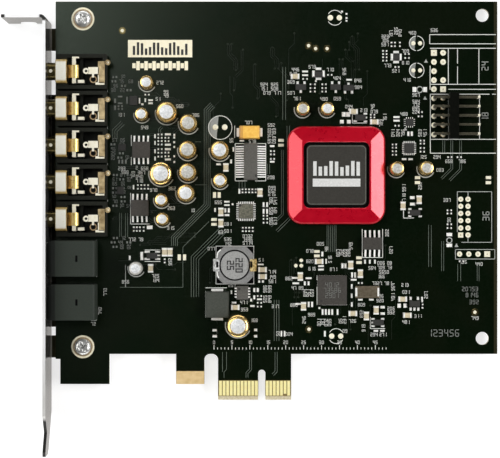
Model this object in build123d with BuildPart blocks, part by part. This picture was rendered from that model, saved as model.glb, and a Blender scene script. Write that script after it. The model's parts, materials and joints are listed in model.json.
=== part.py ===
from build123d import *
from math import atan2, degrees
import os

# PCI Express sound card: populated board, folded mounting bracket, jacks and optical ports.
# Millimetres. X runs from the bracket along the board, Y from the edge connector to the top edge,
# Z from the board's middle plane to the component side. The origin is the middle of the
# connector's key notch, on the connector's lower edge.

# Board
board_thickness = 1.6
board_length = 123.2
board_gap = 1.5
key_to_panel = 59.0
lower_edge_y = 12.8
notch_fillet = 1.6
tab_left_inset = 1.3
tab_right_x = -42.5
tab_bottom_y = 4.4
tab_step_y = 11.4
hook_left_x = -23.9
hook_right_x = -16.0
connector_left_x = -12.2
connector_right_x = 8.2
key_width = 2.0
key_depth = 8.4
bevel_length = 1.3
bevel_depth = 0.45
corner_hole_radius = 1.8
corner_hole_spacing = 90.1
corner_hole_inset = 4.2
corner_hole_margin = 3.85

# Bracket
sheet = 0.86
bend_radius = 0.5
bracket_width = 18.42
bracket_rise = 14.3
flange_length = 11.25
flange_drop = 0.1
tongue_start_y = -3.3
tongue_shoulder = 4.9
tongue_length = 6.9
tongue_width = 9.4
tongue_offset = 0.4
tongue_kick = 0.55
tongue_bevel = 1.4
notch_width = 4.42
notch_depth = 5.0
notch_bevel = 1.3
notch_reach = 5.5
ear_width = 6.2
ear_clear = 1.6
ear_pad = 7.6
ear_bevel = 0.7
lip_reach = 4.0
lip_bottom_y = 20.3
lip_top_y = 85.2

# Bracket screws
screw_x = -49.9
lower_screw_rise = 2.0
upper_screw_margin = 4.85
screw_radius = 1.25
screw_clearance = 0.05
screw_length = 3.9
screw_head_radius = 2.35
screw_head_height = 1.6
screw_hole_radius = 1.5

# Audio jacks
jack_count = 5
jack_pitch = 10.2
lowest_jack_y = 50.4
jack_axis_height = 5.0
jack_width = 9.7
jack_body_front = 2.1
jack_body_length = 14.0
jack_base = 1.4
jack_wall = 1.1
jack_wall_height = 5.6
jack_rib_start = 6.4
jack_rib = 0.9
cradle_facet = 1.5
nose_radius = 2.45
nose_clearance = 0.15
barrel_radius = 3.2
barrel_length = 3.1
barrel_clearance = 0.15
plug_radius = 1.8
spring_gauge = 0.3
ring_spring_width = 2.8
ring_spring_length = 3.2
ring_spring_dip = 1.0
ring_prong_width = 1.1
ring_prong_span = 8.8
tip_spring_width = 1.8
tip_spring_bevel = 0.5
tip_bar_width = 1.6
tip_bar_length = 6.0
tip_leg_width = 1.0

# Optical ports
optical_y = (39.5, 27.5)
optical_width = 9.9
optical_length = 13.2
optical_height = 10.0
optical_front_bevel = 1.1
optical_rear_bevel = 0.5
optical_nose = 8.4
optical_nose_clearance = 0.2
optical_port = 6.2
optical_port_bevel = 1.1
optical_port_depth = 9.4

# Processor and its heat spreader
processor_x = 20.7
processor_y = 62.6
processor_side = 17.0
processor_height = 1.4
spreader_side = 27.4
spreader_corner = 3.5
spreader_rim = 1.0
spreader_height = 3.0
spreader_flat = 19.0
recess_side = 18.2
recess_corner = 1.1
recess_depth = 1.4
plate_side = 16.6
plate_height = 1.1
plate_corner = 1.3

# Electrolytic capacitors: x, y and diameter of each can, by can height
large_can_height = 6.6
medium_can_height = 5.8
small_can_height = 5.3
large_cans = ((-28.0, 63.0, 6.1), (-6.6, 20.8, 6.1), (-26.4, 80.0, 5.6))
medium_cans = (
    (-20.4, 77.0, 4.8), (-20.6, 69.6, 4.8), (-20.6, 63.4, 4.8), (-21.1, 57.6, 4.8), (-11.7, 69.5, 5.0),
)
small_cans = (
    (-32.0, 88.3, 3.7), (-33.4, 79.5, 3.6), (-27.9, 55.7, 3.6), (-27.6, 50.4, 3.6), (-11.6, 61.1, 3.9),
    (-35.0, 36.7, 3.7), (11.4, 81.0, 3.7), (18.2, 81.0, 3.7), (37.5, 64.4, 3.9), (45.7, 64.5, 3.9),
)

# Chips with leads: x, y, length, width of each body
chip_height = 1.5
amplifier_length = 4.9
amplifier_width = 4.5
amplifier_places = ((-33.6, 69.7), (-34.0, 53.5))
flash_chip = (30.8, 43.6, 5.2, 3.4)
converter_chip = (-3.1, 66.4, 4.6, 10.2)

# Leadless chips: x, y, length, width
leadless_height = 0.9
codec_chip = (-4.4, 52.6, 5.3, 5.3)
bridge_chip = (19.6, 30.6, 8.2, 8.2)
power_chip = (-5.4, 29.9, 3.4, 3.8)
clock_chip = (41.1, 70.2, 3.8, 3.8)
buffer_chip = (41.2, 77.4, 3.0, 2.8)
crystal = (29.4, 30.1, 6.6, 3.3)
crystal_height = 1.2
lid_margin = 0.4
lid_height = 0.3
transistor_length = 2.9
transistor_width = 1.6
transistor_height = 1.1
transistor_places = (
    (37.4, 95.6), (15.7, 90.7), (-30.6, 40.2), (42.6, 26.8), (42.7, 52.2),
    (10.9, 87.2), (20.6, 87.2), (24.2, 87.0), (27.5, 78.7), (32.5, 21.6),
)

# Inductor
inductor_place = (-7.5, 37.6)
inductor_side = 10.3
inductor_height = 4.4
inductor_corner = 0.9
inductor_bore = 4.3
core_radius = 3.9
core_drop = 0.2
clip_width = 3.4
clip_reach = 0.9
clip_gauge = 0.35

# Rectifier diode and tantalum capacitor
diode_place = (-12.4, 26.6)
diode_width = 6.6
diode_length = 7.4
diode_height = 2.3
diode_draft = 7.0
diode_tab_width = 3.3
diode_tab_reach = 0.7
tantalum_place = (-3.4, 74.6)
tantalum_length = 5.8
tantalum_width = 3.8
tantalum_height = 2.6
tantalum_draft = 6.0
tantalum_tab_width = 2.4
tab_gauge = 0.3

# Right-angle pin header
header_x = 50.6
header_y = 79.2
header_rows = 5
header_pitch = 2.54
header_pin = 0.64
header_body_offset = 1.5
header_body_depth = 2.5
header_body_height = 5.0
header_body_margin = 1.3
header_pin_reach = 6.0
header_pin_tail = 1.6
header_low_pin = 1.3
header_keyed_row = 3

# Places worked out from the sizes above
board_top = board_thickness / 2
board_bottom = -board_thickness / 2
panel_x = -key_to_panel
outer_x = panel_x - sheet
board_left = panel_x + board_gap
board_right = board_left + board_length
tab_left_x = board_left + tab_left_inset
bracket_high = board_top + bracket_rise
bracket_low = bracket_high - bracket_width
jack_y = [lowest_jack_y + jack_pitch * n for n in range(jack_count)][::-1]
jack_z = board_top + jack_axis_height
jack_x = panel_x + jack_body_front
barrel_end_x = jack_x + barrel_length
lower_screw_y = lower_edge_y + lower_screw_rise
upper_screw_y = jack_y[0] + jack_pitch + upper_screw_margin
board_top_edge = upper_screw_y + upper_screw_margin
flange_y = upper_screw_y - flange_drop
upper_ear_y = flange_y - sheet - ear_clear - ear_width
corner_hole_x = board_right - corner_hole_inset
corner_hole_y = board_top_edge - corner_hole_margin
optical_z = board_top + optical_height / 2
header_rows_y = [header_y + header_pitch * (n - (header_rows - 1) / 2) for n in range(header_rows)][::-1]

os.makedirs("parts", exist_ok=True)


def save(piece, name):
    """Label a finished piece and write it as one STEP file."""
    piece.part.label = name
    export_step(piece.part, f"parts/{name}.step")


def nearest_corner(sketch, x, y):
    """The corner of a sketch that lies nearest to a point of its plane."""
    return sketch.vertices().sort_by_distance((x, y, 0))[0]


# Header pins, bent at a right angle: the rear row rises above the front row
with BuildPart() as header_pins:
    for row, y in enumerate(header_rows_y):
        for rank in range(2):
            if rank == 0 and row == header_keyed_row:
                continue
            x = header_x - rank * header_pitch
            z = board_top + header_low_pin + rank * header_pitch
            half = header_pin / 2
            tip = header_x + header_body_offset + header_body_depth + header_pin_reach
            tail = board_bottom - header_pin_tail
            with BuildSketch(Plane.XZ.offset(-y - half)):
                with BuildLine():
                    Polyline(
                        (x - half, tail), (x + half, tail), (x + half, z - half),
                        (tip, z - half), (tip, z + half), (x - half, z + half), close=True,
                    )
                make_face()
            extrude(amount=header_pin)
save(header_pins, "header_pins")

with BuildPart() as header_body:
    with BuildSketch(Plane.XY.offset(board_top)):
        with Locations((header_x + header_body_offset + header_body_depth / 2, header_y)):
            Rectangle(header_body_depth, header_pitch * (header_rows - 1) + 2 * header_body_margin)
    extrude(amount=header_body_height)
    add(header_pins.part, mode=Mode.SUBTRACT)
save(header_body, "header_body")

# Board with its connector, key notch, retention hook and drilled holes
with BuildPart() as circuit_board:
    with BuildSketch(Plane.XY.offset(board_bottom)) as board_outline:
        with BuildLine():
            Polyline(
                (board_left, board_top_edge), (board_right, board_top_edge), (board_right, lower_edge_y),
                (connector_right_x, lower_edge_y), (connector_right_x, 0), (connector_left_x, 0),
                (connector_left_x, lower_edge_y), (hook_right_x, lower_edge_y), (hook_right_x, tab_bottom_y),
                (hook_left_x, tab_bottom_y), (hook_left_x, lower_edge_y), (tab_right_x, lower_edge_y),
                (tab_right_x, tab_bottom_y), (tab_left_x, tab_bottom_y), (tab_left_x, tab_step_y),
                (board_left, tab_step_y), close=True,
            )
        make_face()
        for x in (hook_right_x, connector_left_x):
            fillet(nearest_corner(board_outline, x, lower_edge_y), notch_fillet)
        with Locations((0, key_depth - key_width / 2)):
            Circle(key_width / 2, mode=Mode.SUBTRACT)
        with Locations((0, (key_depth - key_width / 2) / 2)):
            Rectangle(key_width, key_depth - key_width / 2, mode=Mode.SUBTRACT)
        with Locations((corner_hole_x, corner_hole_y), (corner_hole_x, corner_hole_y - corner_hole_spacing)):
            Circle(corner_hole_radius, mode=Mode.SUBTRACT)
        with Locations((screw_x, lower_screw_y), (screw_x, upper_screw_y)):
            Circle(screw_hole_radius, mode=Mode.SUBTRACT)
    extrude(amount=board_thickness)
    with BuildSketch(Plane.YZ.offset(connector_left_x)):
        for side in (board_top, board_bottom):
            slope = bevel_depth if side < 0 else -bevel_depth
            with BuildLine():
                Polyline((0, side), (bevel_length, side), (0, side + slope), close=True)
            make_face()
    extrude(amount=connector_right_x - connector_left_x, mode=Mode.SUBTRACT)
    add(header_pins.part, mode=Mode.SUBTRACT)
save(circuit_board, "circuit_board")

# Folded bracket: plate, flange and tongue from one bent profile, trimmed to its outline
tongue_end_y = tongue_start_y - tongue_shoulder - tongue_length
tongue_z = (bracket_high + bracket_low) / 2 - tongue_offset
kick_y = tongue_start_y - tongue_shoulder
with BuildPart() as mounting_bracket:
    with BuildSketch(Plane.XY.offset(bracket_low)) as fold:
        with BuildLine():
            Polyline(
                (outer_x - flange_length, flange_y), (panel_x, flange_y), (panel_x, kick_y),
                (panel_x - tongue_kick, tongue_end_y), (outer_x - tongue_kick, tongue_end_y),
                (outer_x, kick_y), (outer_x, flange_y - sheet),
                (outer_x - flange_length, flange_y - sheet), close=True,
            )
        make_face()
        fillet(nearest_corner(fold, panel_x, flange_y), bend_radius + sheet)
        fillet(nearest_corner(fold, outer_x, flange_y - sheet), bend_radius)
    extrude(amount=bracket_width)
    with BuildSketch(Plane.YZ.offset(outer_x - flange_length)) as silhouette:
        with BuildLine():
            Polyline(
                (flange_y, bracket_low), (flange_y, bracket_high), (tongue_start_y, bracket_high),
                (kick_y, tongue_z + tongue_width / 2), (tongue_end_y, tongue_z + tongue_width / 2),
                (tongue_end_y, tongue_z - tongue_width / 2), (kick_y, tongue_z - tongue_width / 2),
                (tongue_start_y, bracket_low), close=True,
            )
        make_face()
        chamfer(silhouette.vertices().group_by(Axis.X)[0], tongue_bevel)
    extrude(amount=flange_length + sheet, mode=Mode.INTERSECT)
    with BuildSketch(Plane.XZ.offset(-flange_y)) as notch:
        with Locations((outer_x - notch_reach, bracket_low)):
            Rectangle(notch_width, 2 * notch_depth)
        chamfer(notch.vertices().group_by(Axis.Y)[-1], notch_bevel)
    extrude(amount=sheet, mode=Mode.SUBTRACT)
    with BuildSketch(Plane.YZ.offset(outer_x)):
        with Locations(*[(y, jack_z) for y in jack_y]):
            Circle(nose_radius + nose_clearance)
        with Locations(*[(y, optical_z) for y in optical_y]):
            Rectangle(*2 * [optical_nose + 2 * optical_nose_clearance])
    extrude(amount=sheet, mode=Mode.SUBTRACT)
    ears = (
        (upper_ear_y, upper_ear_y + ear_width, screw_x + ear_pad / 2),
        (lip_bottom_y, lip_top_y, panel_x + lip_reach),
        (lower_screw_y - ear_width / 2, lower_screw_y + ear_width / 2, screw_x + ear_pad / 2),
    )
    for low, high, end_x in ears:
        with BuildSketch(Plane.YZ.offset(outer_x)):
            with Locations(((low + high) / 2, bracket_low)):
                Rectangle(high - low, 2 * (board_bottom + bend_radius - bracket_low))
        extrude(amount=sheet, mode=Mode.SUBTRACT)
        with BuildSketch(Plane.XZ.offset(-high)) as ear:
            with BuildLine():
                Polyline(
                    (outer_x, board_bottom + bend_radius), (outer_x, board_bottom - sheet),
                    (end_x, board_bottom - sheet), (end_x, board_bottom), (panel_x, board_bottom),
                    (panel_x, board_bottom + bend_radius), close=True,
                )
            make_face()
            chamfer(nearest_corner(ear, outer_x, board_bottom - sheet), ear_bevel)
        extrude(amount=high - low)
    with BuildSketch(Plane.XY.offset(board_bottom)):
        with Locations((screw_x, upper_screw_y)):
            Rectangle(ear_pad, ear_pad)
        with Locations((screw_x, (upper_screw_y + upper_ear_y) / 2)):
            Rectangle(ear_pad, upper_screw_y - upper_ear_y)
    extrude(amount=-sheet)
    with Locations((screw_x, lower_screw_y, board_bottom), (screw_x, upper_screw_y, board_bottom)):
        Hole(screw_radius + screw_clearance)
save(mounting_bracket, "mounting_bracket")

# Pan-head screws
with BuildPart() as bracket_screws:
    screw_spots = ((screw_x, lower_screw_y), (screw_x, upper_screw_y))
    with BuildSketch(Plane.XY.offset(board_top)):
        with Locations(*screw_spots):
            Circle(screw_radius)
    extrude(amount=-screw_length)
    with BuildSketch(Plane.XY.offset(board_top)):
        with Locations(*screw_spots):
            Circle(screw_head_radius)
    extrude(amount=screw_head_height)
save(bracket_screws, "bracket_screws")


def jack_ferrule(y):
    """Turned ferrule: a nose through the bracket, a wider barrel and the plug's bore."""
    with BuildPart() as ferrule:
        with BuildSketch(Plane.XZ.offset(-y)):
            with BuildLine():
                Polyline(
                    (outer_x, jack_z + plug_radius), (outer_x, jack_z + nose_radius),
                    (jack_x, jack_z + nose_radius), (jack_x, jack_z + barrel_radius),
                    (barrel_end_x, jack_z + barrel_radius), (barrel_end_x, jack_z + plug_radius), close=True,
                )
            make_face()
        revolve(axis=Axis((0, y, jack_z), (1, 0, 0)))
    return ferrule


def jack_housing(y):
    """Moulded open frame: a faceted cradle under the ferrule, a low rib and two spring bays."""
    rear_x = jack_x + jack_body_length - jack_wall
    rib_x = jack_x + jack_rib_start
    inside = jack_width - 2 * jack_wall
    half = barrel_radius + barrel_clearance
    floor = jack_z - barrel_radius
    roof = board_top + jack_wall_height
    pockets = (
        (barrel_end_x, rear_x, jack_z - plug_radius - barrel_clearance),
        (barrel_end_x, rib_x, board_top + jack_base),
        (rib_x + jack_rib, rear_x, board_top + jack_base),
    )
    with BuildPart() as housing:
        with BuildSketch(Plane.XY.offset(board_top)):
            with Locations((jack_x + jack_body_length / 2, y)):
                Rectangle(jack_body_length, jack_width)
        extrude(amount=jack_wall_height)
        for start, end, bottom in pockets:
            with BuildSketch(Plane.XY.offset(bottom)):
                with Locations(((start + end) / 2, y)):
                    Rectangle(end - start, inside)
            extrude(amount=roof - bottom, mode=Mode.SUBTRACT)
        with BuildSketch(Plane.YZ.offset(jack_x)):
            with BuildLine():
                Polyline(
                    (y - half, roof), (y - half, floor + cradle_facet), (y - half + cradle_facet, floor),
                    (y + half - cradle_facet, floor), (y + half, floor + cradle_facet), (y + half, roof),
                    close=True,
                )
            make_face()
        extrude(amount=barrel_length, mode=Mode.SUBTRACT)
    return housing


def jack_contacts(y):
    """Two formed springs: the ring contact on the side walls, the tip contact on the rear wall."""
    wall_top = board_top + jack_wall_height
    ring_x = barrel_end_x + barrel_clearance
    with BuildPart() as contacts:
        with BuildSketch(Plane.XZ.offset(-y - ring_spring_width / 2)):
            with BuildLine():
                Polyline(
                    (ring_x, wall_top + spring_gauge), (ring_x, wall_top),
                    (ring_x + ring_spring_length / 2, wall_top - ring_spring_dip),
                    (ring_x + ring_spring_length, wall_top),
                    (ring_x + ring_spring_length, wall_top + spring_gauge),
                    (ring_x + ring_spring_length / 2, wall_top - ring_spring_dip + spring_gauge), close=True,
                )
            make_face()
        extrude(amount=ring_spring_width)
        with BuildSketch(Plane.XY.offset(wall_top)):
            with Locations((ring_x + ring_spring_length - ring_prong_width / 2, y)):
                Rectangle(ring_prong_width, ring_prong_span)
        extrude(amount=spring_gauge)
        bar_end = jack_x + jack_body_length
        bar_x = bar_end - tip_bar_width
        nose_x = jack_x + jack_rib_start + jack_rib
        with BuildSketch(Plane.XY.offset(wall_top)) as tip:
            with Locations(((nose_x + bar_x) / 2, y)):
                Rectangle(bar_x - nose_x, tip_spring_width)
            chamfer(tip.vertices().group_by(Axis.X)[0], tip_spring_bevel)
            with Locations((bar_end - tip_bar_width / 2, y)):
                Rectangle(tip_bar_width, tip_bar_length)
            with Locations((bar_end + spring_gauge / 2, y)):
                Rectangle(spring_gauge, tip_leg_width)
        extrude(amount=spring_gauge)
        with BuildSketch(Plane.XY.offset(board_top)):
            with Locations((bar_end + spring_gauge / 2, y)):
                Rectangle(spring_gauge, tip_leg_width)
        extrude(amount=jack_wall_height)
    return contacts


for number, y in enumerate(jack_y, 1):
    save(jack_ferrule(y), f"jack_ferrule_{number}")
    save(jack_housing(y), f"jack_housing_{number}")
    save(jack_contacts(y), f"jack_contacts_{number}")


def optical_housing(y):
    """Moulded port: bevelled box, nose through the bracket and a keyed square socket."""
    with BuildPart() as housing:
        with BuildSketch(Plane.XY.offset(board_top)):
            with Locations((panel_x + optical_length / 2, y)):
                Rectangle(optical_length, optical_width)
        extrude(amount=optical_height)
        chamfer(housing.edges().group_by(Axis.Z)[-1].sort_by(Axis.X)[-1], optical_rear_bevel)
        chamfer(housing.edges().group_by(Axis.Z)[-1].sort_by(Axis.X)[0], optical_front_bevel)
        with BuildSketch(Plane.YZ.offset(outer_x)):
            with Locations((y, optical_z)):
                Rectangle(optical_nose, optical_nose)
        extrude(amount=sheet)
        with BuildSketch(Plane.YZ.offset(outer_x)) as socket:
            with Locations((y, optical_z)):
                Rectangle(optical_port, optical_port)
            chamfer(socket.vertices().group_by(Axis.Y)[-1], optical_port_bevel)
        extrude(amount=optical_port_depth, mode=Mode.SUBTRACT)
    return housing


for name, y in zip(("output", "input"), optical_y):
    save(optical_housing(y), f"optical_{name}_housing")

# Processor and heat spreader: four mitred bevels inside a rounded outline
with BuildPart() as processor_chip:
    with BuildSketch(Plane.XY.offset(board_top)):
        with Locations((processor_x, processor_y)):
            Rectangle(processor_side, processor_side)
    extrude(amount=processor_height)
save(processor_chip, "processor_chip")

spreader_z = board_top + processor_height
plate_z = spreader_z + spreader_height - recess_depth
with BuildPart() as heat_spreader:
    with BuildSketch(Plane.XY.offset(spreader_z)):
        with Locations((processor_x, processor_y)):
            Rectangle(spreader_side, spreader_side)
    extrude(amount=spreader_rim)
    with BuildSketch(Plane.XY.offset(spreader_z + spreader_rim)):
        with Locations((processor_x, processor_y)):
            Rectangle(spreader_side, spreader_side)
    bevel_rise = spreader_height - spreader_rim
    extrude(amount=bevel_rise, taper=degrees(atan2((spreader_side - spreader_flat) / 2, bevel_rise)))
    with BuildSketch(Plane.XY.offset(spreader_z)):
        with Locations((processor_x, processor_y)):
            RectangleRounded(spreader_side, spreader_side, spreader_corner)
    extrude(amount=spreader_height, mode=Mode.INTERSECT)
    with BuildSketch(Plane.XY.offset(plate_z)) as recess:
        with Locations((processor_x, processor_y)):
            Rectangle(recess_side, recess_side)
        chamfer(recess.vertices(), recess_corner)
    extrude(amount=recess_depth, mode=Mode.SUBTRACT)
save(heat_spreader, "heat_spreader")

with BuildPart() as spreader_plate:
    with BuildSketch(Plane.XY.offset(plate_z)):
        with Locations((processor_x, processor_y)):
            RectangleRounded(plate_side, plate_side, plate_corner)
    extrude(amount=plate_height)
save(spreader_plate, "spreader_plate")

# Electrolytic capacitors, all plain cans
can_heights = (large_can_height, medium_can_height, small_can_height)
with BuildPart() as electrolytic_capacitors:
    for height, cans in zip(can_heights, (large_cans, medium_cans, small_cans)):
        with BuildSketch(Plane.XY.offset(board_top)):
            for x, y, diameter in cans:
                with Locations((x, y)):
                    Circle(diameter / 2)
        extrude(amount=height)
save(electrolytic_capacitors, "electrolytic_capacitors")


def chip_body(x, y, length, width, height):
    """Moulded chip body."""
    with BuildPart() as body:
        with BuildSketch(Plane.XY.offset(board_top)):
            with Locations((x, y)):
                Rectangle(length, width)
        extrude(amount=height)
    return body


for number, (x, y) in enumerate(amplifier_places, 1):
    amplifier = chip_body(x, y, amplifier_length, amplifier_width, chip_height)
    save(amplifier, f"amplifier_chip_{number}")
save(chip_body(*flash_chip, chip_height), "flash_chip")
save(chip_body(*converter_chip, chip_height), "converter_chip")
save(chip_body(*codec_chip, leadless_height), "codec_chip")
save(chip_body(*bridge_chip, leadless_height), "bridge_chip")
save(chip_body(*power_chip, leadless_height), "power_chip")
save(chip_body(*clock_chip, leadless_height), "clock_chip")
save(chip_body(*buffer_chip, leadless_height), "buffer_chip")

with BuildPart() as transistors:
    with BuildSketch(Plane.XY.offset(board_top)):
        with Locations(*transistor_places):
            Rectangle(transistor_length, transistor_width)
    extrude(amount=transistor_height)
save(transistors, "transistors")

# Crystal: ceramic base with a stepped metal lid
crystal_x, crystal_y, crystal_length, crystal_width = crystal
with BuildPart() as crystal_oscillator:
    with BuildSketch(Plane.XY.offset(board_top)):
        with Locations((crystal_x, crystal_y)):
            Rectangle(crystal_length, crystal_width)
    extrude(amount=crystal_height - lid_height)
    with BuildSketch(Plane.XY.offset(board_top + crystal_height - lid_height)):
        with Locations((crystal_x, crystal_y)):
            Rectangle(crystal_length - 2 * lid_margin, crystal_width - 2 * lid_margin)
    extrude(amount=lid_height)
save(crystal_oscillator, "crystal_oscillator")

# Inductor: square ferrite shield, drum core and two wrapped clips
inductor_x, inductor_y = inductor_place
with BuildPart() as inductor_shield:
    with BuildSketch(Plane.XY.offset(board_top)) as shield_outline:
        with Locations(inductor_place):
            Rectangle(inductor_side, inductor_side)
        chamfer(shield_outline.vertices(), inductor_corner)
        with Locations(inductor_place):
            Circle(inductor_bore, mode=Mode.SUBTRACT)
    extrude(amount=inductor_height)
save(inductor_shield, "inductor_shield")

with BuildPart() as inductor_core:
    with BuildSketch(Plane.XY.offset(board_top)):
        with Locations(inductor_place):
            Circle(core_radius)
    extrude(amount=inductor_height - core_drop)
save(inductor_core, "inductor_core")

with BuildPart() as inductor_clips:
    for side in (1, -1):
        wall_x = inductor_x + side * inductor_side / 2
        with BuildSketch(Plane.XZ.offset(-inductor_y - clip_width / 2)):
            with BuildLine():
                Polyline(
                    (wall_x, board_top), (wall_x + side * clip_reach, board_top),
                    (wall_x + side * clip_reach, board_top + clip_gauge),
                    (wall_x + side * clip_gauge, board_top + clip_gauge),
                    (wall_x + side * clip_gauge, board_top + inductor_height + clip_gauge),
                    (wall_x - side * clip_reach, board_top + inductor_height + clip_gauge),
                    (wall_x - side * clip_reach, board_top + inductor_height),
                    (wall_x, board_top + inductor_height), close=True,
                )
            make_face()
        extrude(amount=clip_width)
save(inductor_clips, "inductor_clips")


def drafted_block(place, length, width, height, draft):
    """Moulded block whose walls lean in towards the top."""
    with BuildPart() as block:
        with BuildSketch(Plane.XY.offset(board_top)):
            with Locations(place):
                Rectangle(length, width)
        extrude(amount=height, taper=draft)
    return block


def end_tabs(place, block, reach, width, along_y):
    """Two flat terminals that stick out from under the ends of a moulded block."""
    with BuildPart() as tabs:
        with BuildSketch(Plane.XY.offset(board_top)):
            for side in (1, -1):
                offset = side * (block + reach) / 2
                spot = (place[0], place[1] + offset) if along_y else (place[0] + offset, place[1])
                with Locations(spot):
                    Rectangle(*((width, reach) if along_y else (reach, width)))
        extrude(amount=tab_gauge)
    return tabs


save(drafted_block(diode_place, diode_width, diode_length, diode_height, diode_draft), "rectifier_diode")
save(end_tabs(diode_place, diode_length, diode_tab_reach, diode_tab_width, True), "diode_tabs")
tantalum = drafted_block(tantalum_place, tantalum_length, tantalum_width, tantalum_height, tantalum_draft)
save(tantalum, "tantalum_capacitor")
save(end_tabs(tantalum_place, tantalum_length, diode_tab_reach, tantalum_tab_width, False), "tantalum_tabs")
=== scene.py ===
import json
import math
import random

import bmesh
import bpy
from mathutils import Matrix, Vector


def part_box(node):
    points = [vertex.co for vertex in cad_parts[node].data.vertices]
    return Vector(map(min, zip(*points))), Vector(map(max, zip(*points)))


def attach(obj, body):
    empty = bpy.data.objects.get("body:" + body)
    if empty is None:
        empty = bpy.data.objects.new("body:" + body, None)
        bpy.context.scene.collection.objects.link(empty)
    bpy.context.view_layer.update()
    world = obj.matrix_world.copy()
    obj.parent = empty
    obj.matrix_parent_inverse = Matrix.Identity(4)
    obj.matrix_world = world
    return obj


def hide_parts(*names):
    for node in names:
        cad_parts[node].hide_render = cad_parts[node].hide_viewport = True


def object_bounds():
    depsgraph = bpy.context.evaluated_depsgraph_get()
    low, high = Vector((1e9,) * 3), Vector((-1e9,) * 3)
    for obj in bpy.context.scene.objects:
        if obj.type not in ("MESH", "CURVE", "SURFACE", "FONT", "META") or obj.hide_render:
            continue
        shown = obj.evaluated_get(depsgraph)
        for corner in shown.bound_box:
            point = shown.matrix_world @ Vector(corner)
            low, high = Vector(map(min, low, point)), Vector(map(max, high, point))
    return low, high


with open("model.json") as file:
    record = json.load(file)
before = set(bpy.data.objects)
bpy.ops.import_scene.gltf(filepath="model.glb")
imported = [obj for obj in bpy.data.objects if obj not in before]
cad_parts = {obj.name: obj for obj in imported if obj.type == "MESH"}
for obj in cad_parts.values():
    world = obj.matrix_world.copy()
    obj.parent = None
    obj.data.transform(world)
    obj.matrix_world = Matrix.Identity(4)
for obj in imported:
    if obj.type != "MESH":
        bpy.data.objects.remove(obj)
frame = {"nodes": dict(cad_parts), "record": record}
nodes = frame["nodes"]
cad_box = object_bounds()
draw = random.Random(11)

# The photograph's frame in pixels, its scale on the board, and the board point under the camera
MM = 0.001
PHOTO_WIDTH = 500
PHOTO_HEIGHT = 458
PIXELS_PER_MM = 3.585
VIEW_X = -3.28
VIEW_Y = 47.65
CAMERA_RISE = 600.0
SENSOR = 36.0


def extent(node):
    """Lowest and highest corner of a CAD node in millimetres."""
    return [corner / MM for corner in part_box(node)]


def span(node):
    """Middle, size and top of a CAD node in millimetres."""
    low, high = extent(node)
    return (low + high) / 2, high - low, high.z


BOARD_LOW, BOARD_HIGH = extent("circuit_board")
TOP = BOARD_HIGH.z
BOTTOM = BOARD_LOW.z
TRACE_RISE = 0.03
PRINT_RISE = 0.05
PLATE_RISE = 0.04
FILM = 0.02


def spot(px, py, rise=0.0):
    """Place in millimetres under a pixel of the photograph, on the board or at a height above it."""
    scale = PIXELS_PER_MM * CAMERA_RISE / (CAMERA_RISE - rise)
    return (px - PHOTO_WIDTH / 2) / scale + VIEW_X, (PHOTO_HEIGHT / 2 - py) / scale + VIEW_Y


def length(pixels):
    """Millimetres on the board for a length in pixels."""
    return pixels / PIXELS_PER_MM


def each(value):
    """The values of a group, or a single value as a group of one."""
    return value if isinstance(value, tuple) else (value,)


def spread(table):
    """Places of the columns and rows in each group of a table in photo pixels, with the rest of the group."""
    for columns, rows, *rest in table:
        for column in each(columns):
            for row in each(rows):
                yield (*spot(column, row), *rest)


def turned(upright, along, across):
    """Sizes along X and Y of something that lies along X, or along Y if it is upright."""
    return (across, along) if upright else (along, across)


def around(x, y, radius, turns):
    """Points at a list of angles round a centre."""
    return [(x + radius * math.cos(t), y + radius * math.sin(t)) for t in turns]


def full_turn(count, shift=0.0):
    """Angles evenly round a circle."""
    return [math.tau * (n + shift) / count for n in range(count)]


def beside(path, distance, closed=False):
    """Points of a path moved to its left by a distance, mitred at its corners."""
    moved = []
    count = len(path)
    still = Vector((0, 0))
    for n, here in enumerate(path):
        ins = Vector(here) - Vector(path[n - 1]) if closed or n else still
        outs = Vector(path[(n + 1) % count]) - Vector(here) if closed or n < count - 1 else still
        run = (ins.normalized() + outs.normalized()).normalized()
        turn = run.dot((ins if ins.length else outs).normalized())
        moved.append(Vector(here) + Vector((-run.y, run.x)) * distance / max(0.5, turn))
    return moved


def rectangle(x, y, half_width, half_depth, z):
    """Four corners of a level rectangle, anticlockwise from above."""
    left, right, near, far = x - half_width, x + half_width, y - half_depth, y + half_depth
    return [(left, near, z), (right, near, z), (right, far, z), (left, far, z)]


def rounded_square(x, y, size, radius, z, steps=8):
    """Ring of points round a square with rounded corners, anticlockwise from above."""
    points = []
    straight = size / 2 - radius
    for quarter, (sx, sy) in enumerate(((1, 1), (-1, 1), (-1, -1), (1, -1))):
        turns = [math.radians(90 * (quarter + n / steps)) for n in range(steps + 1)]
        points += [(u, v, z) for u, v in around(x + sx * straight, y + sy * straight, radius, turns)]
    return points


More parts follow.
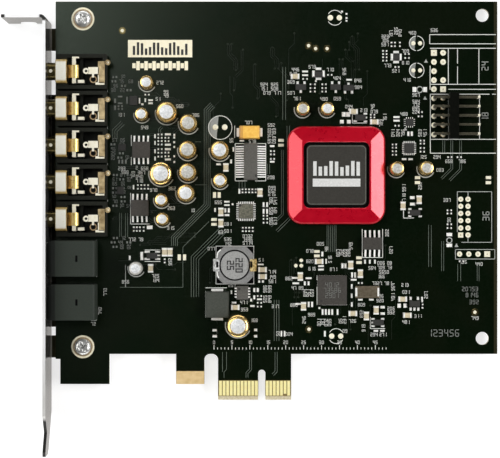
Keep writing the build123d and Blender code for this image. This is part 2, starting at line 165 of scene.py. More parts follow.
class Batch:
    """Closed solids of one material, gathered into one mesh, in millimetres."""

    def __init__(self, name, material, slot=None, node=None, smooth=35.0):
        self.name = name
        self.material = material
        self.slot = slot
        self.node = node
        self.smooth = smooth
        self.cutter = None
        self.points = []
        self.faces = []

    def loft(self, sections, closed=False):
        """Solid through sections of points, each anticlockwise seen from the far end."""
        count, first = len(sections[0]), len(self.points)
        for section in sections:
            self.points += section
        steps = len(sections) if closed else len(sections) - 1
        for step in range(steps):
            here = first + step * count
            there = first + (step + 1) % len(sections) * count
            for n in range(count):
                after = (n + 1) % count
                self.faces.append((here + n, here + after, there + after, there + n))
        if not closed:
            last = first + (len(sections) - 1) * count
            self.faces.append(tuple(first + n for n in reversed(range(count))))
            self.faces.append(tuple(last + n for n in range(count)))

    def prism(self, outline, low, high):
        """Upright prism on an anticlockwise outline."""
        self.loft([[(x, y, z) for x, y in outline] for z in (low, high)])

    def block(self, x, y, width, depth, low, high, shrink=0.0):
        """Box centred on x, y, with its top smaller by shrink on every side."""
        levels = ((0.0, low), (shrink, high))
        self.loft([rectangle(x, y, width / 2 - inset, depth / 2 - inset, z) for inset, z in levels])

    def stand(self, x, y, width, depth, rise, shrink=0.0):
        """Box that stands on the board."""
        self.block(x, y, width, depth, TOP, TOP + rise, shrink)

    def pads(self, table, rise, shrink=None):
        """Boxes on the board from a table in photo pixels, half as broad on top if no shrink is given."""
        for x, y, width, height in spread(table):
            size = length(width), length(height)
            self.stand(x, y, *size, rise, 0.25 * min(size) if shrink is None else shrink)

    def lathe(self, x, y, profile, sides=24, floor=0.0):
        """Solid of revolution about an upright axis, from radius and height pairs, lowest first."""
        turns = full_turn(sides)
        self.loft([[(*point, floor + z) for point in around(x, y, r, turns)] for r, z in profile])

    def stroke(self, path, width, low=TOP, high=TOP + PRINT_RISE, closed=False):
        """Flat strip of one width along a line of points, mitred at its corners."""
        sections = []
        for left, right in zip(beside(path, width / 2, closed), beside(path, -width / 2, closed)):
            sections.append([(*left, low), (*left, high), (*right, high), (*right, low)])
        self.loft(sections, closed)

    def arc(self, x, y, radius, width, low=TOP, high=TOP + PRINT_RISE, start=0.0, sweep=360.0, sides=40):
        """Flat ring, or an arc of one, in degrees."""
        closed = sweep >= 360
        steps = max(4, round(sides * sweep / 360))
        turns = [math.radians(start + sweep * n / steps) for n in range(steps if closed else steps + 1)]
        self.stroke(around(x, y, radius, turns), width, low, high, closed)

    def build(self):
        """Turn the batch into one object, less its cutter."""
        mesh = bpy.data.meshes.new(self.name)
        mesh.from_pydata([Vector(p) * MM for p in self.points], [], self.faces)
        work = bmesh.new()
        work.from_mesh(mesh)
        bmesh.ops.recalc_face_normals(work, faces=work.faces)
        work.to_mesh(mesh)
        work.free()
        mesh.polygons.foreach_set("use_smooth", [True] * len(mesh.polygons))
        mesh.set_sharp_from_angle(angle=math.radians(self.smooth))
        mesh.materials.append(materials[self.material])
        made = place_in_scene(self.name, mesh)
        if self.cutter:
            carve(made, self.cutter.build())
        return made


def place_in_scene(name, data):
    """New object in the scene."""
    made = bpy.data.objects.new(name, data)
    bpy.context.scene.collection.objects.link(made)
    return made


def carve(piece, cutter):
    """Cut one closed mesh out of another."""
    cut = piece.modifiers.new("carve", "BOOLEAN")
    cut.object = cutter
    cut.solver = "EXACT"
    cut.use_self = True
    shape = bpy.data.meshes.new_from_object(piece.evaluated_get(bpy.context.evaluated_depsgraph_get()))
    piece.modifiers.clear()
    piece.data = shape
    bpy.data.objects.remove(cutter)


batches = []


def new_piece(*details, **more):
    """Batch that becomes a piece at the end: its name, material, slot and the CAD node it replaces; the slot
    is not used.
    """
    batches.append(Batch(*details, **more))
    return batches[-1]


# Materials

class Paint:
    """Node material in the making: noises and blends, and their links into its shader."""

    def __init__(self, name):
        self.made = bpy.data.materials.new(name)
        self.made.use_nodes = True
        self.tree = self.made.node_tree
        self.shader = self.tree.nodes["Principled BSDF"]
        self.place = self.node("TexCoord").outputs["Object"]

    def node(self, kind, socket=None, source=None):
        """New node, with one of its inputs linked."""
        made = self.tree.nodes.new("ShaderNode" + kind)
        if socket is not None:
            self.tree.links.new(source, made.inputs[socket])
        return made

    def noise(self, grain, detail=3.0, stretch=(1, 1, 1)):
        """Noise whose features are about grain millimetres wide."""
        mapping = self.node("Mapping", "Vector", self.place)
        mapping.inputs["Scale"].default_value = stretch
        texture = self.node("TexNoise", "Vector", mapping.outputs["Vector"])
        texture.inputs["Scale"].default_value = 1 / (grain * MM)
        texture.inputs["Detail"].default_value = detail
        return texture.outputs["Fac"]

    def position(self):
        """X, Y and Z of the place on the object."""
        return self.node("SeparateXYZ", "Vector", self.place).outputs

    def facing(self):
        """X, Y and Z of the surface normal."""
        return self.node("SeparateXYZ", "Vector", self.node("NewGeometry").outputs["Normal"]).outputs

    def between(self, factor, low=0, high=1, start=0.3, end=0.7):
        """Number that goes from low to high as a factor goes from start to end."""
        node = self.node("MapRange", "Value", factor)
        for socket, value in zip(("From Min", "From Max", "To Min", "To Max"), (start, end, low, high)):
            node.inputs[socket].default_value = value
        return node.outputs["Result"]

    def past(self, coordinate, start, end):
        """Nought to one as a coordinate goes from one place in millimetres to another."""
        return self.between(coordinate, 0, 1, start * MM, end * MM)

    def blend(self, factor, first, second):
        """Colour between two colours or colour sockets."""
        node = self.node("Mix")
        node.data_type = "RGBA"
        self.tree.links.new(factor, node.inputs["Factor"])
        for socket, value in ((node.inputs[6], first), (node.inputs[7], second)):
            if isinstance(value, tuple):
                socket.default_value = (*value, 1)
            else:
                self.tree.links.new(value, socket)
        return node.outputs[2]

    def mottle(self, noise, dark, light):
        """Colour that wanders between two colours with a noise."""
        return self.blend(self.between(noise), dark, light)

    def link(self, source, socket):
        """Lead a socket into the shader."""
        self.tree.links.new(source, self.shader.inputs[socket])

    def finish(self, colour, rough=None, height=None, depth=0.0, **sockets):
        """Lead colour, roughness and a bump in millimetres into the shader, and set its other sockets."""
        self.link(colour, "Base Color")
        if rough is not None:
            self.link(rough, "Roughness")
        for socket, value in sockets.items():
            self.shader.inputs[socket.replace("_", " ")].default_value = value
        if depth:
            bump = self.node("Bump", "Height", height)
            bump.inputs["Distance"].default_value = depth * MM
            self.link(bump.outputs["Normal"], "Normal")
        return self.made


def surface(name, dark, light, rough, grain, metallic=0.0, depth=0.0, **sockets):
    """Material whose colour and roughness wander with a noise, with a slight relief."""
    paint = Paint(name)
    wander = paint.noise(grain)
    bumps = paint.noise(grain / 3) if depth else None
    colour, roughness = paint.mottle(wander, dark, light), paint.between(wander, *rough)
    return paint.finish(colour, roughness, bumps, depth, Metallic=metallic, **sockets)


def board_material():
    """Dark solder mask with faint copper fields, and pale laminate on the cut edges."""
    paint = Paint("solder_mask")
    fields = paint.between(paint.noise(14.0, detail=1.0), 0, 1, 0.42, 0.58)
    weave = paint.noise(0.5)
    mask = paint.blend(fields, (0.0008, 0.0038, 0.0005), (0.0020, 0.0044, 0.0010))
    rim = paint.past(paint.position()["X"], BOARD_HIGH.x - 1.0, BOARD_HIGH.x - 0.9)
    mask = paint.blend(rim, mask, (0.024, 0.022, 0.011))
    level = paint.node("Math", 0, paint.facing()["Z"])
    level.operation = "ABSOLUTE"
    edge = paint.between(level.outputs["Value"], 1, 0, 0.96, 0.99)
    laminate = paint.mottle(weave, (0.56, 0.48, 0.31), (0.76, 0.68, 0.49))
    colour, rough = paint.blend(edge, mask, laminate), paint.between(weave, 0.2, 0.26)
    return paint.finish(colour, rough, weave, 0.003, Specular_Tint=(0.84, 1.0, 0.82, 1))


def two_tone(name, grain, rough, first, second, limits, bump=0.0, depth=0.0, **sockets):
    """Mottled material that changes from one pair of colours to another between two places along X."""
    paint = Paint(name)
    wander = paint.noise(grain)
    tones = [paint.mottle(wander, *pair) for pair in (first, second)]
    colour = paint.blend(paint.past(paint.position()["X"], *limits), *tones)
    bumps = paint.noise(bump) if depth else None
    return paint.finish(colour, paint.between(wander, *rough), bumps, depth, **sockets)


def bracket_material():
    """Nickel plate, brushed along the sheet, with a painted highlight on its upward cut edges, painted shade
    on the ears, a warmer tongue, and painted dark reflections at the flange's ends and the tongue's foot.
    """
    paint = Paint("nickel_plate")
    brush = paint.noise(0.25, stretch=(1, 0.04, 1))
    cloud = paint.noise(9.0)
    place, facing = paint.position(), paint.facing()
    up = paint.between(facing["Z"], 0, 1, 0.1, 0.5)
    face = paint.mottle(cloud, (0.36, 0.36, 0.35), (0.44, 0.44, 0.43))
    # Upward cut edges are much lighter than the faces: a painted highlight
    cut = paint.mottle(cloud, (0.86, 0.86, 0.86), (0.97, 0.97, 0.97))
    # Upward faces of the ears under the board are painted near black: painted shade in the gap beside the
    # board
    ear_shade = paint.mottle(brush, (0.02, 0.019, 0.008), (0.05, 0.046, 0.022))
    tongue_face = paint.mottle(cloud, (0.32, 0.3, 0.285), (0.42, 0.395, 0.375))
    # The tongue's upward edges carry the same painted highlight
    tongue_edge_highlight = paint.mottle(cloud, (0.62, 0.61, 0.59), (0.88, 0.87, 0.85))
    tongue = paint.blend(up, tongue_face, tongue_edge_highlight)
    tone = paint.blend(paint.past(place["Y"], 13.0, 3.0), paint.blend(up, face, cut), tongue)
    tone = paint.blend(paint.past(place["X"], -58.9, -58.6), tone, paint.blend(up, face, ear_shade))
    # Near black on upward faces at both ends of the flange and at the foot of the tongue: painted dark
    # reflections
    dark_reflection_edges = paint.blend(up, tone, (0.025, 0.025, 0.024))
    flange = paint.blend(paint.past(place["X"], -69.9, -70.3), tone, dark_reflection_edges)
    flange = paint.blend(paint.past(place["X"], -60.9, -60.5), flange, dark_reflection_edges)
    tone = paint.blend(paint.past(place["Y"], -3.8, -5.0), tone, dark_reflection_edges)
    tone = paint.blend(paint.past(place["Y"], 104.3, 104.7), tone, flange)
    paint.link(paint.between(facing["Z"], 0.9, 0.3, 0.1, 0.5), "Metallic")
    rough = paint.between(facing["Z"], 0.17, 0.36, 0.1, 0.5)
    return paint.finish(tone, rough, brush, 0.003, Specular_Tint=(0.42, 0.4, 0.38, 1))


def sleeve_material():
    """Plated sleeve with painted light: pale on its flat top as a painted highlight, and brown-gold where it
    bends down as painted shade.
    """
    paint = Paint("jack_sleeve")
    wander = paint.noise(0.8)
    # A lit and a shaded copy of one plating, chosen by which way the surface faces
    pale = paint.mottle(wander, (0.98, 0.95, 0.8), (0.995, 0.975, 0.87))
    brown = paint.mottle(wander, (0.4, 0.27, 0.08), (0.62, 0.45, 0.18))
    level = paint.between(paint.facing()["Z"], 0, 1, 0.8, 0.97)
    return paint.finish(paint.blend(level, brown, pale), paint.between(wander, 0.26, 0.38))


# Mottled surfaces: dark and light colour, roughness, grain in millimetres, metallic and depth of relief
SURFACES = {
    "copper_trace": ((0.1, 0.122, 0.1), (0.14, 0.165, 0.135), (0.3, 0.4), 1.5),
    "faint_trace": ((0.0055, 0.0095, 0.005), (0.009, 0.0135, 0.0075), (0.25, 0.35), 1.5),
    "via_print": ((0.012, 0.017, 0.01), (0.024, 0.032, 0.02), (0.25, 0.35), 0.6),
    "screw_steel": ((0.62, 0.62, 0.6), (0.92, 0.92, 0.9), (0.14, 0.24), 0.8, 0.6),
    # Gold darkened to olive brown: on the jack noses a painted dark reflection of the plating; the via rings
    # use it too
    "dark_gold": ((0.2, 0.16, 0.06), (0.34, 0.28, 0.12), (0.14, 0.22), 0.8, 0.9),
    "cream_gold": ((0.9, 0.84, 0.64), (0.97, 0.93, 0.78), (0.28, 0.4), 0.9, 0.1),
    "finger_gold": ((0.97, 0.85, 0.36), (1.0, 0.93, 0.48), (0.28, 0.42), 0.6, 0.05, 0.003),
    "bare_laminate": ((0.16, 0.11, 0.03), (0.26, 0.19, 0.06), (0.5, 0.65), 0.4),
    "hook_gold": ((0.74, 0.53, 0.24), (0.84, 0.63, 0.33), (0.45, 0.6), 1.2, 0.3, 0.004),
    "spring_bronze": ((0.24, 0.165, 0.07), (0.64, 0.5, 0.27), (0.3, 0.45), 1.6, 0.2, 0.004),
    "plate_print": ((0.62, 0.62, 0.6), (0.74, 0.74, 0.72), (0.45, 0.6), 0.5),
    # Lighter line round the spreader plate's edge: a painted highlight
    "plate_highlight": ((0.1, 0.1, 0.085), (0.15, 0.15, 0.13), (0.3, 0.45), 0.5),
    "capacitor_can": ((0.72, 0.46, 0.14), (0.9, 0.66, 0.28), (0.16, 0.28), 0.8, 0.8),
    "can_top": ((0.62, 0.64, 0.65), (0.95, 0.96, 0.96), (0.32, 0.45), 0.5, 0.2, 0.012),
    "can_grey": ((0.4, 0.39, 0.35), (0.72, 0.71, 0.66), (0.32, 0.45), 0.5, 0.2, 0.012),
    "can_score": ((0.56, 0.57, 0.57), (0.7, 0.7, 0.7), (0.4, 0.55), 0.5),
    "crystal_lid": ((0.18, 0.145, 0.095), (0.27, 0.225, 0.16), (0.3, 0.45), 0.7, 0.7, 0.008),
    "ferrite": ((0.19, 0.19, 0.185), (0.29, 0.29, 0.28), (0.45, 0.6), 0.35, 0.2, 0.02),
    "pale_ferrite": ((0.28, 0.28, 0.27), (0.4, 0.4, 0.385), (0.45, 0.6), 0.35, 0.1, 0.02),
    "tinned": ((0.88, 0.87, 0.82), (0.98, 0.97, 0.94), (0.32, 0.48), 0.4, 0.1, 0.006),
    "solder": ((0.92, 0.91, 0.86), (0.99, 0.98, 0.94), (0.36, 0.52), 0.35, 0.05, 0.006),
    "cream_pad": ((0.9, 0.85, 0.64), (0.97, 0.93, 0.76), (0.35, 0.5), 0.4, 0.15, 0.005),
    "ceramic": ((0.52, 0.44, 0.29), (0.7, 0.62, 0.44), (0.4, 0.55), 0.4, 0.0, 0.008),
    "resistor": ((0.008, 0.008, 0.008), (0.018, 0.017, 0.016), (0.3, 0.45), 0.3, 0.0, 0.006),
    "white_print": ((0.66, 0.66, 0.62), (0.82, 0.82, 0.78), (0.5, 0.65), 0.25, 0.0, 0.004),
    "grey_print": ((0.34, 0.35, 0.33), (0.44, 0.45, 0.42), (0.5, 0.65), 0.3, 0.0, 0.004),
    "dim_print": ((0.18, 0.19, 0.175), (0.25, 0.26, 0.24), (0.5, 0.65), 0.3),
    "pale_print": ((0.27, 0.28, 0.265), (0.36, 0.37, 0.35), (0.5, 0.65), 0.3),
    "gold_print": ((0.95, 0.87, 0.62), (0.99, 0.93, 0.72), (0.45, 0.6), 0.6),
    # Header pins: plated metal painted nearly black, a painted dark reflection
    "pin_dark_reflection": ((0.05, 0.045, 0.028), (0.09, 0.082, 0.055), (0.3, 0.45), 0.5, 0.4),
    "eyelet_brown": ((0.3, 0.2, 0.1), (0.5, 0.36, 0.2), (0.3, 0.45), 0.4, 0.3),
    "dark_print": ((0.012, 0.012, 0.012), (0.03, 0.03, 0.028), (0.5, 0.6), 0.3),
    "guide_plastic": ((0.06, 0.006, 0.006), (0.12, 0.014, 0.012), (0.1, 0.2), 0.8),
}

# Dull mouldings: specular level, then the values as above
MOULDINGS = {
    "black_moulding": (0.12, (0.011, 0.012, 0.009), (0.018, 0.019, 0.014), (0.42, 0.58), 0.5, 0.0, 0.006),
    "header_black": (0.04, (0.002, 0.0024, 0.0015), (0.004, 0.0045, 0.003), (0.42, 0.58), 0.5, 0.0, 0.006),
    "chip_epoxy": (0.2, (0.03, 0.03, 0.028), (0.044, 0.043, 0.04), (0.5, 0.62), 0.35, 0.0, 0.01),
    "pale_epoxy": (0.2, (0.09, 0.086, 0.076), (0.13, 0.125, 0.112), (0.5, 0.62), 0.4, 0.0, 0.01),
    "speckled_epoxy": (0.2, (0.07, 0.07, 0.05), (0.2, 0.195, 0.15), (0.5, 0.62), 0.45, 0.0, 0.01),
    "brown_epoxy": (0.2, (0.045, 0.041, 0.036), (0.068, 0.062, 0.055), (0.5, 0.62), 0.4, 0.0, 0.01),
    "green_epoxy": (0.2, (0.052, 0.058, 0.048), (0.075, 0.08, 0.068), (0.5, 0.62), 0.5, 0.0, 0.01),
    # Near black for the inductor base and the slots, and as painted shade in the spreader's groove
    "near_black_and_shade": (0.05, (0.001, 0.001, 0.001), (0.003, 0.003, 0.003), (0.5, 0.65), 0.6),
    "dark_plate": (0.2, (0.034, 0.032, 0.027), (0.046, 0.043, 0.037), (0.42, 0.55), 0.5, 0.0, 0.005),
}

# Surfaces made one by one: two tones meet between limits along X, and a plain tone is a pair of equal colours
TANTALUM_END = extent("tantalum_capacitor")[0].x
BAND_TONE = (0.66, 0.34, 0.07)
FRONT_TONE = (0.007, 0.009, 0.007)
materials = {
    "solder_mask": board_material(),
    "nickel_plate": bracket_material(),
    "jack_sleeve": sleeve_material(),
    "tantalum_case": two_tone(
        "tantalum_case", 0.7, (0.35, 0.5), ((0.88, 0.47, 0.07), (0.97, 0.6, 0.12)), (BAND_TONE, BAND_TONE),
        (TANTALUM_END + 1.15, TANTALUM_END + 1.0), 0.7, 0.01,
    ),
    "slate_moulding": two_tone(
        "slate_moulding", 0.4, (0.5, 0.62), ((0.021, 0.028, 0.021), (0.03, 0.037, 0.029)),
        (FRONT_TONE, FRONT_TONE), (-56.6, -56.9), 0.15, 0.008, Specular_IOR_Level=0.25,
    ),
    "clip_plate": two_tone(
        "clip_plate", 0.6, (0.2, 0.35), ((0.6, 0.6, 0.58), (0.95, 0.95, 0.93)),
        ((0.5, 0.34, 0.1), (0.92, 0.74, 0.38)), (-8.0, -7.0), Metallic=0.4,
    ),
    "spring_leaf": two_tone(
        "spring_leaf", 0.5, (0.25, 0.4), ((0.30, 0.16, 0.045), (0.42, 0.24, 0.07)),
        ((0.86, 0.62, 0.2), (0.95, 0.74, 0.3)), (-52.9, -51.9), Metallic=0.6,
    ),
    "red_lacquer": surface(
        "red_lacquer", (0.58, 0.0, 0.016), (0.64, 0.001, 0.02), (0.26, 0.32), 2.0, 0.35,
        Coat_Weight=0.5, Coat_Roughness=0.15,
    ),
}
for name, values in SURFACES.items():
    materials[name] = surface(name, *values)
for name, (level, *values) in MOULDINGS.items():
    materials[name] = surface(name, *values, Specular_IOR_Level=level)

# CAD nodes: materials that aren't named as their slot is, and the width of the softened edges
SLOT_TONES = {"board_laminate": "solder_mask", "gold_plate": "dark_gold"}
NODE_TONES = {
    "power_chip": "pale_epoxy", "flash_chip": "brown_epoxy", "bridge_chip": "brown_epoxy",
    "amplifier_chip_1": "brown_epoxy", "amplifier_chip_2": "brown_epoxy", "rectifier_diode": "green_epoxy",
    "inductor_clips": "clip_plate", "inductor_core": "pale_ferrite",
    "header_pins": "pin_dark_reflection", "header_body": "header_black",
}
BEVELS = {
    "nickel_plate": 0.12, "black_moulding": 0.15, "slate_moulding": 0.3, "gold_plate": 0.1,
    "spring_bronze": 0.08, "chip_epoxy": 0.15, "dark_plate": 0.35, "crystal_lid": 0.12,
    "ferrite": 0.2, "tinned": 0.1, "tantalum_case": 0.25,
}


def dress_nodes():
    """Give every CAD node its material, and soften its edges."""
    for row in frame["record"]["subparts"]:
        node, slot = nodes[row["node"]], row["material_slot"]
        tone = NODE_TONES.get(row["node"], SLOT_TONES.get(slot, slot))
        node.data.materials.clear()
        node.data.materials.append(materials[tone])
        weld = node.modifiers.new("weld", "WELD")
        weld.merge_threshold = 1e-6
        if slot == "nickel_plate":
            dissolve = node.modifiers.new("dissolve", "DECIMATE")
            dissolve.decimate_type = "DISSOLVE"
            dissolve.angle_limit = math.radians(1)
        if slot in BEVELS:
            bevel = node.modifiers.new("bevel", "BEVEL")
            bevel.width = BEVELS[slot] * MM
            bevel.segments = 3
            bevel.limit_method = "ANGLE"
            bevel.angle_limit = math.radians(40)
            bevel.harden_normals = False


dress_nodes()

# Numbers drawn with seven strokes, as plain designators
SEGMENTS = {
    "a": ((0, 1), (1, 1)), "b": ((1, 0.5), (1, 1)), "c": ((1, 0), (1, 0.5)), "d": ((0, 0), (1, 0)),
    "e": ((0, 0), (0, 0.5)), "f": ((0, 0.5), (0, 1)), "g": ((0, 0.5), (1, 0.5)),
}
DIGITS = ("abcdef", "bc", "abged", "abgcd", "fgbc", "afgcd", "afgedc", "abc", "abcdefg", "abcdfg")
DIGIT_HEIGHT = 0.85
DIGIT_WIDTH = 0.42
DIGIT_STEP = 0.72
DIGIT_STROKE = 0.13
AXES = ((1, 0), (0, 1), (-1, 0), (0, -1))


def number(batch, x, y, digits, turn=0, scale=1.0, stroke=DIGIT_STROKE, low=TOP):
    """Row of digits centred on x, y, turned by a number of quarter turns anticlockwise."""
    start = -(len(digits) - 1) / 2 * DIGIT_STEP
    across, up = AXES[turn % 4], AXES[(turn + 1) % 4]
    for place, digit in enumerate(digits):
        for name in DIGITS[digit]:
            ends = []
            for u, v in SEGMENTS[name]:
                run = (start + place * DIGIT_STEP + (u - 0.5) * DIGIT_WIDTH) * scale
                rise = (v - 0.5) * DIGIT_HEIGHT * scale
                ends.append(Vector((x + run * across[0] + rise * up[0], y + run * across[1] + rise * up[1])))
            reach = (ends[1] - ends[0]).normalized() * stroke / 2
            batch.stroke([ends[0] - reach, ends[1] + reach], stroke, low, low + PRINT_RISE)


def random_digits(count=3):
    """Digits of a made-up number."""
    return [draw.randrange(10) for _ in range(count)]


# Printed lines, in photo pixels from one end to the other
white = new_piece("white_print", "white_print")
grey = new_piece("grey_print", "grey_print")
dim = new_piece("dim_marks", "dim_print")
HEADER_LINES = (
    (429.7, 34.6, 496, 34.6), (429.7, 43.8, 496, 43.8), (429.7, 34.6, 429.7, 43.8), (430, 48.3, 496, 48.3),
    (448.3, 48.3, 448.3, 84.3), (457.5, 48.3, 457.5, 63.5), (457.5, 66.5, 457.5, 84.3),
    (478.9, 48.3, 478.9, 84.3), (430, 84.3, 496, 84.3), (448.3, 89.3, 496, 89.3),
    (430.1, 65.8, 430.1, 89.6), (430, 94.2, 448.8, 94.2), (456.5, 94.2, 489.5, 94.2),
    (492.1, 94.2, 496, 94.2), (430.3, 94.2, 430.3, 153.2), (430.3, 139.3, 496, 139.3),
    (430.3, 153.2, 496, 153.2), (479.5, 94.2, 479.5, 139.3),
)
CHIP_LINES = (
    (235.2, 143.6, 265.8, 143.6), (265.8, 143.6, 265.8, 180.9), (235.2, 180.9, 247, 180.9),
    (255, 180.9, 265.8, 180.9), (235.2, 143.6, 235.2, 180.9), (234.7, 125.7, 234.7, 137.8),
    (205.5, 287.8, 226.9, 287.8), (205.7, 291, 205.7, 317.5), (362.2, 229, 362.2, 257.5),
    (382.6, 229, 382.6, 257.5), (362.2, 257.5, 382.6, 257.5), (317, 287, 317, 304.8),
    (317, 275.3, 317, 280), (322, 304.8, 347, 304.8), (356.5, 297.5, 376, 297.5), (131.3, 135, 131.3, 146),
    (131.3, 157, 131.3, 165.2), (130.6, 224, 149.5, 224), (130.6, 193, 130.6, 224),
    (144.7, 250, 160.5, 250), (144.7, 261.4, 160.5, 261.4), (352.3, 111.5, 352.3, 123),
    (352.3, 123, 367, 123), (370.3, 317, 370.3, 328.6), (370.3, 328.6, 385, 328.6),
    (403.5, 207, 403.5, 218), (403.5, 218, 414, 218),
)
FINE_LINES = (
    (107.5, 67, 107.5, 96), (107.5, 103.5, 107.5, 132.5), (107.5, 140, 107.5, 169),
    (107.5, 176.5, 107.5, 205.5), (107.5, 213, 107.5, 228), (96.5, 240, 96.5, 277),
    (96.5, 285, 96.5, 320.5), (125.5, 265, 125.5, 287), (91, 320.5, 96.5, 320.5),
    (448.5, 94.2, 448.5, 139.3), (457.3, 191.7, 491.7, 191.7), (457.3, 191.7, 457.3, 232),
    (491.7, 191.7, 491.7, 242.3), (461.5, 242.3, 491.7, 242.3), (468, 192, 468, 196.5),
    (468, 238, 468, 242.3), (455.4, 249.5, 494.8, 249.5), (455.4, 259, 494.8, 259),
    (455.4, 249.5, 455.4, 259), (494.8, 249.5, 494.8, 259),
)
LINE_WIDTH = 0.2
FINE_WIDTH = 0.18
printed = ((white, HEADER_LINES, LINE_WIDTH), (white, CHIP_LINES, FINE_WIDTH), (grey, FINE_LINES, FINE_WIDTH))
for batch, lines, width in printed:
    for x1, y1, x2, y2 in lines:
        batch.stroke([spot(x1, y1), spot(x2, y2)], width)

# Copper traces, in photo pixels: a path, how many run side by side, and the step between them
TRACES = (
    (((121, 121.2), (112.5, 129.7), (112.5, 139)), 3, 2.3),
    (((161.2, 126.3), (158.7, 128.8), (158.7, 132.7)), 2, 2), (((119.5, 213), (119.5, 237)), 2, 1.9),
    (((125.5, 213), (125.5, 237)), 2, 2.2),
    (((210.6, 102.8), (204.2, 109.2), (204.2, 204), (171.5, 236.7), (171.5, 246)), 4, 1.95),
    (((209, 221.5), (182.9, 247), (182.9, 253.5)), 1, 0), (((182.9, 260.5), (182.9, 287.3)), 1, 0),
    (((220.5, 227.2), (191.2, 256.5), (191.2, 297)), 4, 2.5), (((282.7, 67), (282.7, 120)), 2, 2.9),
    (((281.4, 150), (281.4, 214), (270, 225.4)), 2, 1.9), (((287, 126), (287, 140)), 2, 2.4),
    (((269.6, 164), (269.6, 174)), 3, -2.3), (((195, 141.8), (201, 141.8)), 1, 0),
    (((195, 184.8), (207, 184.8)), 1, 0), (((245, 181.5), (245, 188)), 3, -2.9),
    (((279, 300), (279, 341)), 3, -2.4), (((288.8, 217.6), (276, 230.4)), 2, 2.2),
    (((327, 225), (327, 252)), 6, 1.8), (((459.6, 140), (459.6, 169), (449, 179.6)), 2, 1.9),
    (((450.8, 140), (450.8, 168), (441, 177.8)), 2, 1.9), (((442.7, 140), (442.7, 153)), 2, 2),
    (((457.7, 264), (457.7, 281)), 2, 3), (((477.2, 264), (477.2, 281)), 2, 1.9),
    (((428.6, 225), (428.6, 267)), 2, 2.7), (((120, 287.3), (182.9, 287.3)), 1, 0),
    (((222.5, 352), (222.5, 372)), 1, 0), (((226.5, 352), (226.5, 369.5), (224, 372), (224, 378)), 1, 0),
    (((249.5, 352), (249.5, 369), (246, 372.5), (246, 378)), 2, 2),
    (((275, 352), (275, 371), (272, 374)), 2, 2.2), (((441.5, 241), (441.5, 271)), 2, 2.2),
)
TRACE_WIDTH = 0.13
traces = new_piece("copper_traces", "copper_trace")
for path, count, step in TRACES:
    places = [spot(*point) for point in path]
    for n in range(count):
        traces.stroke(beside(places, n * length(step)), TRACE_WIDTH, high=TOP + TRACE_RISE)

# Traces that hardly show through the mask, drawn at random on both faces, with vias at their ends
FRONT_TRIES = 110
BACK_TRIES = 330
RUN_PIXELS = (6, 24)
SLANT_PIXELS = (2, 9)
FAINT_STEP = 1.9
VIA_RADIUS = 0.3
TOP_ROOM = ((112, 76, 200, 280), (196, 30, 380, 120), (200, 240, 400, 345))
BACK_ROOM = ((110, 12, 300, 180), (110, 170, 300, 345), (290, 12, 480, 180), (290, 170, 480, 320))


def random_traces(face, room, tries, low, high):
    """Bundles of traces that run straight, slant, and run straight again inside areas of the photo."""
    lines = new_piece(f"{face}_traces", "faint_trace")
    dots = new_piece(f"{face}_vias", "via_print")
    for n in range(tries):
        left, upper, right, lower = room[n % len(room)]
        x, y = draw.uniform(left, right), draw.uniform(upper, lower)
        first = draw.uniform(*RUN_PIXELS)
        slant = draw.choice((-1, 1)) * draw.uniform(*SLANT_PIXELS)
        last = draw.uniform(*RUN_PIXELS)
        lanes = draw.choice((1, 1, 2, 3))
        path = [(0, 0), (first, 0), (first + abs(slant), slant), (first + abs(slant) + last, slant)]
        if n % 3:
            path = [(-v, u) for u, v in path]
        path = [(x + u, y + v) for u, v in path]
        if not all(left <= u <= right and upper <= v <= lower for u, v in path):
            continue
        for lane in range(lanes):
            moved = beside([spot(*point) for point in path], lane * length(FAINT_STEP))
            lines.stroke(moved, TRACE_WIDTH, low, high)
            dots.lathe(*moved[(n + lane) % 2 * -1], ((VIA_RADIUS, low), (VIA_RADIUS, high)), 12)


random_traces("top", TOP_ROOM, FRONT_TRIES, TOP, TOP + FILM)
random_traces("back", BACK_ROOM, BACK_TRIES, BOTTOM - FILM, BOTTOM)

# Tiny two-ended parts, in photo pixels: the columns of both ends and the rows, or the other way round
TINY_ACROSS = (
    (158.4, 161.7, (134.5, 137.8, 141.1, 144.5, 149.2, 152.8, 156.6)),
    (165.4, 168.6, (137.8, 141.1, 152.6, 156.3)), (145.4, 148.8, 94.7),
    (270.9, 274.1, (151.1, 154.4, 158.9)), (263.6, 267.1, (215.7, 218.9, 222.7)),
    (257.8, 261.1, (296, 302.8, 306.6)), (303.2, 307, 78.9), (328, 331.6, 74.9),
    (310.5, 314.8, (84.3, 88.1, 91.6)), (322.3, 325.8, (84.3, 88.1, 91.6)), (370.8, 374.3, (114.7, 117.5)),
    (358.7, 361.9, 283), (383.1, 386.5, (50.9, 54.1, 57.3, 60.6)), (405.2, 408.8, (54, 58)),
    (395.3, 398.7, (67, 125.7)), (418.6, 421.9, (112.1, 116.4)), (420.6, 424, (140.6, 143.6, 148, 151.7)),
    (392.6, 396, (144.5, 147.7, 151.3, 154.8)), (448.1, 451.5, 157.1), (457.5, 460.9, 157.1),
    (447.5, 451.1, (210.3, 213.5, 224.3, 228)), (459.6, 463, 261.3),
)
TINY_UP = (
    ((137.9, 141.3, 144.6, 148.2), 185.2, 188.7), ((133.8, 136.8, 139.9, 143.7), 227.3, 230.8),
    ((242.5, 245.8, 249.1, 252.4, 255.7), 189.4, 192.3), ((242.8, 246, 249.2, 252.7), 227.8, 231.1),
    ((391.5, 394.9, 399.9), 42.7, 46.1), (422.5, 304.5, 307.7), (164.7, 259.2, 262.4),
)
TINY_END = 0.46
TINY_WIDTH = 0.5
TINY_HEIGHT = 0.36
bodies = new_piece("tiny_bodies", "resistor", "chip_epoxy")
ends = new_piece("solder_lands", "solder", "tinned")


